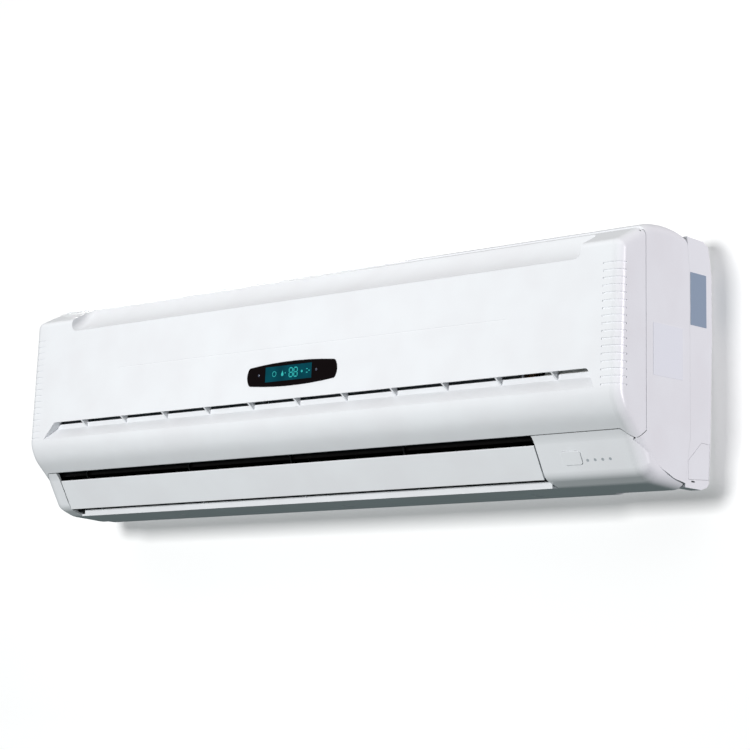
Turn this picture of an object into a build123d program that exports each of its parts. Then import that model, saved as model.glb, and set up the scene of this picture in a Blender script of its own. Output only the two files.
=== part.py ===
"""Wall fan coil unit: a water-fed indoor unit that hangs on a plate screwed to the wall.

Lengths are in millimetres. The frame's origin is the centre of the wall plate's screw pattern, on the wall:
+X runs to the right as seen from the room, +Y into the wall and +Z up, so the front of the unit is at -Y.
Places in an end view are written as (distance from the wall plane, height above the casing's bottom), and
base turns such a height into one in the frame.
"""
import os
from math import atan2, cos, degrees, hypot, radians, sin
from build123d import *

os.makedirs("parts", exist_ok=True)

# Overall size and the mouldings
unit_width = 990.0
plate_level = 175.0
wall = 2.6
seam = 0.8
fit_gap = 0.3
pin_gap = 0.05
side_step = 0.6
half = unit_width / 2
upper_half = half - side_step
base = -plate_level

# Casing outline in the end view
crest = (-94.0, 297.0)
panel_seam_y = -134.0
slope_top = (panel_seam_y, 289.8)
face_top = (-181.0, 266.4)
nose = (-188.2, 103.4)
band_end = (-163.0, 60.0)
casing_back_y = -34.0
end_radius = 12.0
face_corner_radius = 9.0

# Lower casing outline in the end view
front_high = (-155.0, 49.8)
mouth_corner = (-134.5, 12.3)
underside_front = (-112.0, 3.6)
underside_rear = (-62.0, 0.0)
lower_end_radius = 16.0
lower_back_y = -58.0

# Outlet mouth, air path and fan
mouth_left = -463.0
mouth_right = 357.0
duct_left = -460.5
duct_right = 349.0
fan_centre = (-88.0, 118.0)
fan_radius = 45.0
fan_left = -452.0
fan_right = 345.0
shaft_radius = 4.0

# Coil
coil_left = -455.0
coil_right = 345.0
coil_depth = 25.0
plate_thickness = 1.5


def end_plane(x):
    """The plane across the unit at x: first axis towards the wall, second up from the casing's bottom."""
    return Plane(origin=(x, 0, base), x_dir=(0, 1, 0), z_dir=(1, 0, 0))


def front_plane(y):
    """The plane along the wall at y: first axis +X, second up from the casing's bottom, facing the room."""
    return Plane(origin=(0, y, base), x_dir=(1, 0, 0), z_dir=(0, -1, 0))


def end_block(points, x_from, x_to, mode=Mode.ADD):
    """Carries a closed end-view outline along the unit from x_from to x_to."""
    with BuildSketch(end_plane(x_from)) as outline:
        with BuildLine():
            Polyline(*points, close=True)
        make_face()
    extrude(outline.sketch, amount=x_to - x_from, mode=mode)


def block(x, y, h, mode=Mode.ADD):
    """A box over the ranges x, y and h, each written as (low, high), with h above the casing's bottom."""
    with Locations(((x[0] + x[1]) / 2, (y[0] + y[1]) / 2, base + (h[0] + h[1]) / 2)):
        Box(x[1] - x[0], y[1] - y[0], h[1] - h[0], mode=mode)


def rod(centre, x_from, x_to, radius, mode=Mode.ADD):
    """A round bar along X about an end-view point."""
    with BuildSketch(end_plane(x_from)) as outline:
        with Locations(centre):
            Circle(radius)
    extrude(outline.sketch, amount=x_to - x_from, mode=mode)


def along(start, end, distance, aside=0.0):
    """The end-view point at a distance from start towards end, moved aside to the right of that way."""
    length = hypot(end[0] - start[0], end[1] - start[1])
    run = ((end[0] - start[0]) / length, (end[1] - start[1]) / length)
    return (start[0] + run[0] * distance + run[1] * aside, start[1] + run[1] * distance - run[0] * aside)


def inset_corner(before, corner, after, inset):
    """The corner of an outline moved inside, to the left of the way from before over corner to after."""
    first = atan2(corner[1] - before[1], corner[0] - before[0])
    second = atan2(after[1] - corner[1], after[0] - corner[0])
    shift = inset / (1 + cos(second - first))
    return (corner[0] - (sin(first) + sin(second)) * shift, corner[1] + (cos(first) + cos(second)) * shift)


def inset_curve(curve, inset):
    """A curve moved inside by the inset, to the left of its way, through six points."""
    points = []
    for share in (0.0, 0.2, 0.4, 0.6, 0.8, 1.0):
        run = curve.tangent_at(share)
        points.append(curve.position_at(share) + Vector(-run.Y, run.X) * inset)
    return Spline(points, tangents=[curve.tangent_at(0), curve.tangent_at(1)])


# Forms that the mouldings share: each is one solid, inset all round for the inside of a wall
def casing_form(inset):
    """The common form of the front panel and the front frame, rounded at both ends."""
    slope = (face_top[0] - slope_top[0], face_top[1] - slope_top[1])
    face_run = (nose[0] - face_top[0], nose[1] - face_top[1])
    foot = (band_end[0] + 28.0, band_end[1] - 28.0)
    bottom = (casing_back_y, -6.0)
    outer_top = Spline(
        (casing_back_y, 285.0),
        (-53.0, 292.2),
        (-72.0, 295.9),
        crest,
        (-115.0, 295.2),
        slope_top,
        tangents=[(-1, 0.42), slope],
    )
    outer_band = Spline(nose, (-186.4, 92.0), (-178.8, 76.6), band_end, tangents=[face_run, (1, -1)])
    with BuildPart() as form:
        with BuildSketch(end_plane(-upper_half + inset)) as outline:
            with BuildLine():
                top = inset_curve(outer_top, inset)
                band = inset_curve(outer_band, inset)
                corner = inset_corner(slope_top, face_top, nose, inset)
                foot_in = inset_corner(band_end, foot, bottom, inset)
                Polyline(top @ 1, corner, band @ 0)
                Polyline(band @ 1, foot_in, (casing_back_y - inset, bottom[1] + inset), top @ 0)
            make_face()
            fillet(outline.vertices().sort_by_distance((*corner, 0))[0], face_corner_radius - inset)
        extrude(amount=2 * (upper_half - inset))
        ends = form.faces().sort_by(Axis.X)[0].edges() + form.faces().sort_by(Axis.X)[-1].edges()
        rounded = [e for e in ends if e.center().Y < casing_back_y - 5 and e.center().Z > base + foot[1] + 3]
        fillet(rounded, end_radius - inset)
    return form.part


def lower_form(inset):
    """The form of the lower casing, with softer ends than the rest."""
    front_run = (mouth_corner[0] - front_high[0], mouth_corner[1] - front_high[1])
    flare_start = (band_end[0] - 8.5, band_end[1] + 13.0)
    form_back = (lower_back_y + 14.0, underside_rear[1])
    form_top = flare_start[1] + 25.0
    outer_flare = Spline(flare_start, band_end, front_high, tangents=[(0.5, -1), front_run])
    corners = ((mouth_corner, 19.0), (underside_front, 30.0), (underside_rear, 60.0))
    with BuildPart() as form:
        with BuildSketch(end_plane(-half + inset)) as outline:
            with BuildLine():
                flare = inset_curve(outer_flare, inset)
                Polyline(
                    flare @ 1,
                    inset_corner(front_high, mouth_corner, underside_front, inset),
                    inset_corner(mouth_corner, underside_front, underside_rear, inset),
                    inset_corner(underside_front, underside_rear, form_back, inset),
                    (form_back[0] - inset, form_back[1] + inset),
                    (form_back[0] - inset, form_top - inset),
                    ((flare @ 0).X, form_top - inset),
                    flare @ 0,
                )
            make_face()
            for corner, radius in corners:
                near = outline.vertices().sort_by_distance((corner[0], corner[1] + inset, 0))[0]
                fillet(near, radius - inset)
        extrude(amount=2 * (half - inset))
        ends = form.faces().sort_by(Axis.X)[0].edges() + form.faces().sort_by(Axis.X)[-1].edges()
        rounded = [
            e for e in ends if e.center().Y < form_back[0] - 5 and e.center().Z < base + flare_start[1] - 3
        ]
        fillet(rounded, lower_end_radius - inset)
    return form.part


casing_outer = casing_form(0)
casing_inner = casing_form(wall)
lower_outer = lower_form(0)
lower_inner = lower_form(wall)


# The joints between the mouldings
joint_turn_x = 477.0
joint_end_h = 48.9
wing_tip = (-150.7, joint_end_h)
wing_foot = (panel_seam_y, 59.7)
side_curve = [wing_tip, (-125.3, 32.0), (-97.3, 17.2), (-66.4, 8.9)]
chassis_seam = [(-52.0, 300.0), (-46.0, 249.5), (-46.0, 60.4), (-57.0, 8.0)]


def joint_outline(drop, upwards):
    """Front view of what lies above, or below, the joint under the panel, which dips at both ends."""
    far = half + 6.0
    limit = 320.0 if upwards else -20.0
    with BuildSketch(front_plane(-90.0)) as outline:
        with BuildLine():
            dip = Spline(
                (joint_turn_x, band_end[1] - drop),
                (half - 10.0, joint_end_h + 6.0 - drop),
                (far, joint_end_h - 5.0 - drop),
                tangents=[(1, 0), (1, -0.8)],
            )
            rise = Spline(
                (-far, joint_end_h - 5.0 - drop),
                (-half + 10.0, joint_end_h + 6.0 - drop),
                (-joint_turn_x, band_end[1] - drop),
                tangents=[(1, 0.8), (1, 0)],
            )
            Line(rise @ 1, dip @ 0)
            Polyline(dip @ 1, (far, limit), (-far, limit), rise @ 0)
        make_face()
    return outline.sketch


# Front panel: the moulded cover that carries the display and swings up for the filters
panel_pivot = (-141.0, 279.2)
pivot_edge_radius = panel_seam_y - panel_pivot[0]
panel_pin_radius = 2.0
cheek_outer_x = 483.5
cheek_thickness = 3.0
ear_wall = 1.4
frame_foot_h = 90.0
cove_low = (-182.6, 250.0)
cove_high = (-145.0, 284.2)
cove_depth = 4.5
cove_left = -418.0
cove_right = 440.0
cove_end_radius = 9.0
cove_reach = 30.0
slot_top_h = 126.0
ledge_back = (-175.0, 117.5)
recess_top_h = 124.0
recess_left = (-441.0, -462.0)
recess_right = (453.0, 463.0)
ledge_wall = 2.0
recess_corner = 6.0
rib_thickness = 2.5
rib_pitch = 79.0
rib_centre_x = 8.0
rib_count = 11
groove_count = 17
groove_width = 1.9
groove_depth = 0.9
groove_inner_x = 471.0
groove_low_h = 105.9
groove_high_h = 241.5
groove_y = (-195.0, -170.5)
crease_h = 191.5
crease_x = (-318.0, 340.0)
crease_width = 2.4
crease_depth = 0.35
display_x = 3.5
display_h = 157.5
display_width = 153.0
display_height = 31.0
display_bulge = 4.0
window_x = -1.5
window_h = 158.5
window_width = 79.0
window_height = 19.0
bezel_proud = 0.8
bezel_flange = 2.0


def cove_tool(grow):
    """What the hollow under the panel's top edge takes away, grown by the wall for the inside."""
    chord = (cove_high[0] - cove_low[0], cove_high[1] - cove_low[1])
    inward = (chord[1] / hypot(*chord), -chord[0] / hypot(*chord))
    low = (cove_low[0] + inward[0] * grow, cove_low[1] + inward[1] * grow)
    high = (cove_high[0] + inward[0] * grow, cove_high[1] + inward[1] * grow)
    middle = (
        (low[0] + high[0]) / 2 + inward[0] * cove_depth,
        (low[1] + high[1]) / 2 + inward[1] * cove_depth,
    )
    with BuildPart() as tool:
        with BuildSketch(end_plane(cove_left - grow)):
            with BuildLine():
                arc = ThreePointArc(low, middle, high)
                before = arc @ 0 - (arc % 0) * cove_reach
                beyond = arc @ 1 + (arc % 1) * cove_reach
                Polyline(arc @ 1, beyond, (before.X, beyond.Y), before, arc @ 0)
            make_face()
        extrude(amount=cove_right - cove_left + 2 * grow)
        ends = tool.faces().sort_by(Axis.X)[0].edges() + tool.faces().sort_by(Axis.X)[-1].edges()
        level = base + beyond.Y - 1.0
        rim = [e for e in ends if e.center().Z < level and e.center().Y > before.X + 1.0]
        fillet(rim, cove_end_radius + grow)
    return tool.part


def face_point_y(h):
    """Distance from the wall plane of the panel's face at height h."""
    share = (face_top[1] - h) / (face_top[1] - nose[1])
    return face_top[0] + (nose[0] - face_top[0]) * share


face_tilt = degrees(atan2(face_top[0] - nose[0], face_top[1] - nose[1]))
display_plane = Plane(
    origin=(display_x, face_point_y(display_h), base + display_h),
    x_dir=(1, 0, 0),
    z_dir=(0, -cos(radians(face_tilt)), sin(radians(face_tilt))),
)


def barrel(gap):
    """The display's barrel-shaped outline, larger all round by the gap."""
    w = display_width / 2 + gap
    h = display_height / 2 + gap
    low = h - display_bulge
    with BuildSketch() as outline:
        with BuildLine():
            top = ThreePointArc((-w + display_bulge, low), (0, h), (w - display_bulge, low))
            right = ThreePointArc(top @ 1, (w, 0), (w - display_bulge, -low))
            foot = ThreePointArc(right @ 1, (0, -h), (-w + display_bulge, -low))
            ThreePointArc(foot @ 1, (-w, 0), top @ 0)
        make_face()
        fillet(outline.vertices(), 5.0)
    return outline.sketch


panel_cove = cove_tool(0)
panel_cove_inside = cove_tool(wall)
groove_skin = casing_outer - casing_form(groove_depth)
panel_hollow = casing_inner - panel_cove_inside
with BuildPart() as groove_cut:
    pitch = (groove_high_h - groove_low_h) / (groove_count - 1)
    for k in range(groove_count):
        h = groove_low_h + pitch * k
        for side in (-1, 1):
            inner, outer = sorted((side * groove_inner_x, side * half))
            block((inner, outer), groove_y, (h - groove_width / 2, h + groove_width / 2))
    add(groove_skin, mode=Mode.INTERSECT)

with BuildPart() as panel_roll:
    rod(panel_pivot, -upper_half, upper_half, pivot_edge_radius)
    rod(panel_pivot, -upper_half + wall, upper_half - wall, pivot_edge_radius - wall, mode=Mode.SUBTRACT)
    block(
        (-upper_half, upper_half),
        (panel_pivot[0], panel_pivot[0] + pivot_edge_radius),
        (panel_pivot[1], panel_pivot[1] + pivot_edge_radius),
        mode=Mode.INTERSECT,
    )
    add(casing_outer, mode=Mode.INTERSECT)

with BuildPart() as front_panel:
    add(casing_outer)
    add(panel_cove, mode=Mode.SUBTRACT)
    add(panel_hollow, mode=Mode.SUBTRACT)
    extrude(joint_outline(0, True), amount=120.0, both=True, mode=Mode.INTERSECT)
    end_block(
        [
            (-210.0, -20.0),
            (wing_tip[0], -20.0),
            wing_tip,
            wing_foot,
            (panel_seam_y, panel_pivot[1]),
            (panel_pivot[0], panel_pivot[1] + 3.0),
            (panel_pivot[0], 320.0),
            (-210.0, 320.0),
        ],
        -half - 5.0,
        half + 5.0,
        mode=Mode.INTERSECT,
    )
    # the rolled rear edge, round about the pivot and closed at its ends
    add(panel_roll.part)
    # the intake slot under the face, with the ledge, the recess's back and its flared ends
    with BuildSketch(front_plane(-150.0)) as slot_outline:
        with BuildLine():
            Polyline(
                (recess_left[0], slot_top_h),
                (recess_right[0], slot_top_h),
                (recess_right[1], nose[1]),
                (recess_left[1], nose[1]),
                close=True,
            )
        make_face()
        fillet(slot_outline.vertices().group_by(Axis.Y)[-1], recess_corner)
    extrude(slot_outline.sketch, amount=60.0, mode=Mode.SUBTRACT)
    end_block(
        [
            nose,
            ledge_back,
            (ledge_back[0], recess_top_h),
            (ledge_back[0] + ledge_wall, recess_top_h),
            (ledge_back[0] + ledge_wall, ledge_back[1] - 1.0),
            (nose[0] + wall + 0.4, nose[1] - 1.2),
            (nose[0] + 0.3, nose[1] - 3.0),
        ],
        recess_left[1],
        recess_right[1],
    )
    for top_x, foot_x, side in ((recess_left[0], recess_left[1], -1), (recess_right[0], recess_right[1], 1)):
        with BuildSketch(front_plane(ledge_back[0] + ledge_wall)) as flare:
            with BuildLine():
                Polyline(
                    (top_x, slot_top_h + 2.0),
                    (foot_x, nose[1]),
                    (foot_x, nose[1] - 3.0),
                    (foot_x + side * 3.0, nose[1] - 3.0),
                    (top_x + side * 3.0, slot_top_h + 2.0),
                    close=True,
                )
            make_face()
        extrude(flare.sketch, amount=face_point_y(slot_top_h) * -1 + ledge_back[0] + ledge_wall - 1.0)
    for k in range(rib_count):
        rib_x = rib_centre_x + rib_pitch * (k - (rib_count - 1) / 2)
        end_block(
            [
                (face_point_y(slot_top_h) + 0.3, slot_top_h + 0.2),
                (face_point_y(slot_top_h) + wall - 0.4, slot_top_h + 12.0),
                (ledge_back[0] - 2.0, slot_top_h + 12.0),
                (ledge_back[0] + ledge_wall - 0.5, recess_top_h - 0.5),
                (ledge_back[0] + ledge_wall - 0.5, ledge_back[1]),
                ledge_back,
            ],
            rib_x - rib_thickness / 2,
            rib_x + rib_thickness / 2,
        )
    # the end grooves, which run round the front corners, and the fine crease across the face
    add(groove_cut.part, mode=Mode.SUBTRACT)
    end_block(
        [
            (face_point_y(crease_h - crease_width / 2) - 0.1, crease_h - crease_width / 2),
            (face_point_y(crease_h) + crease_depth, crease_h),
            (face_point_y(crease_h + crease_width / 2) - 0.1, crease_h + crease_width / 2),
        ],
        *crease_x,
        mode=Mode.SUBTRACT,
    )
    with BuildSketch(display_plane.offset(-10.0)) as display_hole:
        add(barrel(fit_gap / 2))
    extrude(display_hole.sketch, amount=20.0, mode=Mode.SUBTRACT)
    # pins that turn in the front frame's cheeks
    pin_root_x = upper_half - wall - 0.8
    pin_tip_x = cheek_outer_x - cheek_thickness - 0.5
    for side in (-1, 1):
        rod(panel_pivot, *sorted((side * pin_root_x, side * pin_tip_x)), panel_pin_radius)
front_panel.part.label = "front_panel"
export_step(front_panel.part, "parts/front_panel.step")

# Display: a dark bezel with its window, and the board behind it, all carried by the panel
window_thickness = 1.5
window_set_back = 0.3
board_thickness = 1.6
window_centre = (window_x - display_x, window_h - display_h)
with BuildPart() as display_bezel:
    with BuildSketch(display_plane.offset(-wall - bezel_flange)) as flange:
        add(barrel(bezel_flange + 1.0))
    extrude(flange.sketch, amount=bezel_flange)
    with BuildSketch(display_plane.offset(-wall)) as plug:
        add(barrel(-fit_gap / 2))
    extrude(plug.sketch, amount=wall + bezel_proud)
    fillet(display_bezel.edges().group_by(Axis.Y)[0], bezel_proud * 0.7)
    with BuildSketch(display_plane.offset(bezel_proud)) as pocket:
        with Locations(window_centre):
            Rectangle(window_width + fit_gap, window_height + fit_gap)
    extrude(pocket.sketch, amount=-window_thickness - window_set_back, mode=Mode.SUBTRACT)
display_bezel.part.label = "display_bezel"
export_step(display_bezel.part, "parts/display_bezel.step")

with BuildPart() as display_window:
    with BuildSketch(display_plane.offset(bezel_proud - window_set_back)) as glass:
        with Locations(window_centre):
            Rectangle(window_width, window_height)
    extrude(glass.sketch, amount=-window_thickness)
display_window.part.label = "display_window"
export_step(display_window.part, "parts/display_window.step")

with BuildPart() as display_board:
    with BuildSketch(display_plane.offset(-wall - bezel_flange)) as board:
        Rectangle(display_width - 40.0, display_height - 7.0)
    extrude(board.sketch, amount=-board_thickness)
    with BuildSketch(display_plane.offset(-wall - bezel_flange - board_thickness)) as plug_socket:
        with Locations((display_width / 4, 0)):
            Rectangle(14.0, 6.0)
    extrude(plug_socket.sketch, amount=-4.0)
display_board.part.label = "display_board"
export_step(display_board.part, "parts/display_board.step")

# Flap's place, which the lower casing, its bushes and the motor share
flap_thickness = 2.5
flap_pivot = (-131.5, 19.5)
flap_pin_radius = 2.5
bush_radius = 4.0
flap_side_gap = 2.0
flap_top_h = 48.7
flap_low_h = 11.2
mouth_wall = 2.5
front_run_length = hypot(mouth_corner[0] - front_high[0], mouth_corner[1] - front_high[1])
front_normal = (
    (mouth_corner[1] - front_high[1]) / front_run_length,
    -(mouth_corner[0] - front_high[0]) / front_run_length,
)


def front_point(h, inside=0.0):
    """End-view point on the lower casing's front line at height h, set inside by a distance."""
    share = (front_high[1] - h) / (front_high[1] - mouth_corner[1])
    y = front_high[0] + (mouth_corner[0] - front_high[0]) * share
    return (y - front_normal[0] * inside, h - front_normal[1] * inside)


# Lower casing: the moulded front below the panel, with the outlet mouth and the control area
button_x = 402.6
button_h = 33.0
button_width = 26.0
button_height = 17.0
button_corner = 3.6
button_proud = 0.9
button_travel = 1.5
light_xs = (422.8, 433.0, 443.3, 453.5)
light_drop = 4.0
light_radius = 1.8
board_depth = 14.0
board_x = (382.6, 464.6)
board_height = 28.0
post_xs = (-409.0, -209.0, -26.0, 160.0)
post_thickness = 2.0
rail_y = (-150.0, -147.4)
rail_drop = 5.0
lip_left = -445.0
lip_top = (-123.4, 10.8)
lip_foot = (-122.6, 2.6)
lip_wall = 1.7
post_foot_h = 9.6
screw_xs = (-300.0, 0.0, 300.0)
screw_y = -75.0
screw_radius = 1.8
screw_length = 16.0
screw_head_radius = 4.0
cap_radius = 5.5
cap_depth = 1.4
screw_seat_h = 5.0
screw_boss_h = 8.0
cap_h = 1.1
control_plane = Plane(
    origin=(button_x, front_point(button_h)[0], base + button_h),
    x_dir=(1, 0, 0),
    z_dir=(0, front_normal[0], front_normal[1]),
)
with BuildPart() as mouth_ends:
    for x in (mouth_left - mouth_wall, mouth_right):
        block((x, x + mouth_wall), (-175.0, underside_front[0]), (1.0, band_end[1] - seam))
    add(lower_outer, mode=Mode.INTERSECT)

with BuildPart() as lower_casing:
    add(lower_outer)
    add(lower_inner, mode=Mode.SUBTRACT)
    extrude(joint_outline(seam, False), amount=120.0, both=True, mode=Mode.INTERSECT)
    with BuildSketch(end_plane(-half - 5.0)) as below_curve:
        with BuildLine():
            curve = Spline([(y, h - seam) for y, h in side_curve])
            Polyline(
                curve @ 1,
                (lower_back_y, side_curve[-1][1] - 2.4),
                (lower_back_y, -20.0),
                (-220.0, -20.0),
                (-220.0, 100.0),
                (wing_tip[0], 100.0),
                curve @ 0,
            )
        make_face()
    extrude(below_curve.sketch, amount=2 * half + 10.0, mode=Mode.INTERSECT)
    block((mouth_left, mouth_right), (-220.0, underside_front[0]), (-20.0, 100.0), mode=Mode.SUBTRACT)
    # the lip: an upright strip set back under the flap, which stops short of the mouth's left end
    end_block(
        [
            lip_top,
            lip_foot,
            (underside_front[0] + 1.0, underside_front[1] - 0.1),
            (underside_front[0] + 1.0, underside_front[1] + wall),
            (lip_foot[0] + lip_wall, lip_foot[1] + wall),
            (lip_top[0] + lip_wall, lip_top[1]),
        ],
        lip_left,
        mouth_right + 1.0,
    )
    # the mouth's ends, its upper rail and the thin posts behind the flap
    add(mouth_ends.part)
    block((mouth_left - 1.0, mouth_right + 1.0), rail_y, (band_end[1] - rail_drop, band_end[1] + 2.0))
    for x in post_xs:
        end_block(
            [
                (-155.0, band_end[1] + 1.0),
                front_point(52.0, flap_thickness + 0.9),
                front_point(31.0, flap_thickness + 0.9),
                (-124.4, 27.0),
                (-124.4, post_foot_h),
                (-120.9, post_foot_h),
                (-120.9, 30.0),
                (-133.0, 37.0),
                (-147.0, 57.0),
                (rail_y[1], band_end[1] + 1.0),
            ],
            x - post_thickness / 2,
            x + post_thickness / 2,
        )
    rod(flap_pivot, mouth_left - mouth_wall - 2.0, mouth_left + 0.5, bush_radius + 2.0)
    rod(flap_pivot, mouth_left - 5.0, mouth_left + 1.0, bush_radius + pin_gap, mode=Mode.SUBTRACT)
    rod(flap_pivot, mouth_right - 1.0, mouth_right + 5.0, bush_radius + pin_gap, mode=Mode.SUBTRACT)
    # the button's hole, the four light holes and the bosses of the board
    with BuildSketch(control_plane.offset(-wall - 1.0)) as control_holes:
        RectangleRounded(button_width + 2 * fit_gap, button_height + 2 * fit_gap, button_corner + fit_gap)
        for x in light_xs:
            with Locations((x - button_x, -light_drop)):
                Circle(light_radius + pin_gap)
    extrude(control_holes.sketch, amount=wall + 6.0, mode=Mode.SUBTRACT)
    with BuildSketch(control_plane.offset(-board_depth)) as bosses:
        for x in (board_x[0] + 4.0, board_x[1] - 4.0):
            for v in (-board_height / 2 + 4.0, board_height / 2 - 4.0):
                with Locations((x - button_x, v)):
                    Circle(3.0)
    extrude(bosses.sketch, amount=board_depth - wall + 0.5)
    # bosses over the underside, counterbored from below for the screws and their caps
    for x in screw_xs:
        with Locations((x, screw_y, base)):
            Cylinder(cap_radius + 2.0, screw_boss_h, align=(Align.CENTER, Align.CENTER, Align.MIN))
            Cylinder(screw_radius + 0.2, 4 * screw_boss_h, mode=Mode.SUBTRACT)
            Cylinder(cap_radius + pin_gap, 2 * screw_seat_h, mode=Mode.SUBTRACT)
            Cylinder(cap_radius + 4.0, 1.8, mode=Mode.SUBTRACT)
lower_casing.part.label = "lower_casing"
export_step(lower_casing.part, "parts/lower_casing.step")

# Filters: two framed nets that lie over the coil, and the path that they share with the frame's ribs
filter_foot = (-171.2, 104.0)
filter_bend = (-169.6, 214.0)
filter_turn = (-138.0, 254.0)
filter_end = (-64.0, 267.0)
filter_thickness = 2.5
net_thickness = 0.8
filter_edge = 8.0
filter_spans = {"filter_left": (-449.5, -52.5), "filter_right": (-47.5, 347.5)}
filter_cells = 6
rib_xs = (-452.0, -50.0, 350.0)
frame_rib_width = 3.0
frame_rib_depth = 1.8


def filter_section(thickness, trim, aside=0.0):
    """End view of a strip along the filter's path, shorter by the trim at both ends."""
    foot = along(filter_foot, filter_bend, trim, aside)
    bend = along(filter_bend, filter_foot, 0, -aside)
    turn = along(filter_turn, filter_end, 0, aside)
    end = along(filter_end, filter_turn, trim, -aside)
    with BuildSketch(end_plane(0)) as strip:
        with BuildLine() as path:
            Line(foot, bend)
            Spline(
                bend,
                turn,
                tangents=[
                    (filter_bend[0] - filter_foot[0], filter_bend[1] - filter_foot[1]),
                    (filter_end[0] - filter_turn[0], filter_end[1] - filter_turn[1]),
                ],
            )
            Line(turn, end)
        trace(path.wire(), thickness)
    return strip.sketch


for name, (x_from, x_to) in filter_spans.items():
    cell = (x_to - x_from - filter_edge) / filter_cells
    with BuildPart() as air_filter:
        extrude(Pos(x_from, 0, 0) * filter_section(filter_thickness, 0), amount=x_to - x_from)
        for k in range(filter_cells):
            start = x_from + filter_edge + cell * k
            extrude(
                Pos(start, 0, 0) * filter_section(filter_thickness + 2.0, filter_edge),
                amount=cell - filter_edge / 2,
                mode=Mode.SUBTRACT,
            )
        net = Pos(x_from + filter_edge / 2, 0, 0) * filter_section(net_thickness, filter_edge / 2)
        extrude(net, amount=x_to - x_from - filter_edge)
    air_filter.part.label = name
    export_step(air_filter.part, f"parts/{name}.step")

# Front frame: the moulded middle of the casing, which holds the filters and the panel's pins
bar_top_h = filter_foot[1] - fit_gap
frame_bar_right = 366.0
rib_web = [(-131.0, 253.0), (-131.0, 289.5), (-64.0, 294.5), (-64.0, 264.0)]
top_slot_pitch = 11.0
top_slot_count = 79
top_slot_width = 7.0
with BuildPart() as front_frame:
    add(casing_outer)
    add(casing_inner, mode=Mode.SUBTRACT)
    with BuildSketch(end_plane(-half - 5.0)) as middle:
        with BuildLine():
            curve = Spline(side_curve)
            Polyline(
                curve @ 1,
                (chassis_seam[3][0] - seam / 2, side_curve[-1][1] - 1.5),
                (chassis_seam[2][0] - seam / 2, chassis_seam[2][1]),
                (chassis_seam[1][0] - seam / 2, chassis_seam[1][1]),
                (chassis_seam[0][0] - seam / 2, chassis_seam[0][1]),
                (panel_seam_y + seam, chassis_seam[0][1]),
                (panel_seam_y + seam, wing_foot[1] - seam),
                (wing_tip[0] + seam, wing_tip[1] - 0.4),
                curve @ 0,
            )
        make_face()
    extrude(middle.sketch, amount=2 * half + 10.0, mode=Mode.INTERSECT)
    # below the filters only the end caps remain
    clear_x = upper_half - end_radius
    block((-clear_x, clear_x), (-200.0, casing_back_y), (-20.0, frame_foot_h), mode=Mode.SUBTRACT)
    for y in (-113.5, -76.5):
        with Locations((0, y, base + crest[1])):
            with GridLocations(top_slot_pitch, 1.0, top_slot_count, 1):
                Box(top_slot_width, 29.0, 24.0, mode=Mode.SUBTRACT)
    # cheeks with the ears that hold the panel's pins
    for side in (-1, 1):
        x_from, x_to = sorted((side * cheek_outer_x, side * (cheek_outer_x - cheek_thickness)))
        neck_back = panel_pivot[0] + 1.0
        neck_front = panel_pivot[0] - panel_pin_radius - ear_wall
        end_block(
            [
                (-126.0, 97.0),
                (-126.0, 287.0),
                (-131.5, 287.0),
                (-131.5, panel_pivot[1] - 11.0),
                (neck_back, panel_pivot[1] - 11.0),
                (neck_back, panel_pivot[1]),
                (neck_front, panel_pivot[1]),
                (neck_front, panel_pivot[1] - 17.0),
                (-164.0, 250.0),
                (-172.0, 240.0),
                (-178.0, 112.0),
                (-178.0, 97.0),
            ],
            x_from,
            x_to,
        )
        rod(panel_pivot, x_from, x_to, panel_pin_radius + ear_wall)
        rod(panel_pivot, x_from - 1.0, x_to + 1.0, panel_pin_radius + pin_gap, mode=Mode.SUBTRACT)
        x_from, x_to = sorted((side * (cheek_outer_x - 0.2), side * (upper_half - wall + 0.3)))
        block((x_from, x_to), (-131.5, -126.0), (97.0, 283.0))
    # the bar and ribs that carry the filters, with webs under the top
    bar_y = (filter_foot[0] - 1.5, filter_foot[0] + 1.8)
    block((-cheek_outer_x, frame_bar_right), bar_y, (bar_top_h - 3.4, bar_top_h))
    for x in rib_xs:
        shift = filter_thickness / 2 + fit_gap + frame_rib_depth / 2
        rib_start = x - frame_rib_width / 2
        extrude(Pos(rib_start, 0, 0) * filter_section(frame_rib_depth, -4.0, shift), amount=frame_rib_width)
        end_block(rib_web, rib_start, rib_start + frame_rib_width)
front_frame.part.label = "front_frame"
export_step(front_frame.part, "parts/front_frame.step")

# Rear chassis: the moulded back, with the air duct's rear guide and end plates
chassis_step = 0.4
chassis_half = upper_half - chassis_step
plate_pocket_x = 432.0
plate_pocket_h = (56.0, 266.0)
plate_pocket_depth = 6.0
guide_thickness = 2.5
vane_base = (-101.0, 25.0)
vane_axis = (-0.6, 0.8)
vane_flow = (-0.8, -0.6)
vane_pitch = 80.0
vane_count = 10
vane_middle_x = -54.0
vane_xs = [vane_middle_x + vane_pitch * (k - (vane_count - 1) / 2) for k in range(vane_count)]
vane_pin_radius = 2.0
vane_pin_depth = 6.0
bearing_mount_radius = 17.0
bearing_mount_x = (-473.0, -461.5)
motor_x = (357.0, 430.0)
motor_radius = 40.0
cradle_xs = (362.0, 422.0)
cradle_thickness = 4.0
strap_thickness = 1.5
hook_xs = (-300.0, 0.0, 300.0)
hook_width = 24.0
hook_h = 236.0
hook_rise = 10.0
plate_gauge = 1.5
pipe_notch_x = (384.0, 480.0)
pipe_notch_y = (-52.0, -12.0)
foot_slot_y = (-44.5, -37.5)
foot_slot_h = (9.3, 11.1)
knock_out = [(-50.3, 33.7), (-23.0, 55.8), (-6.0, 55.1), (-8.5, 14.0), (-50.3, 12.0)]


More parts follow.
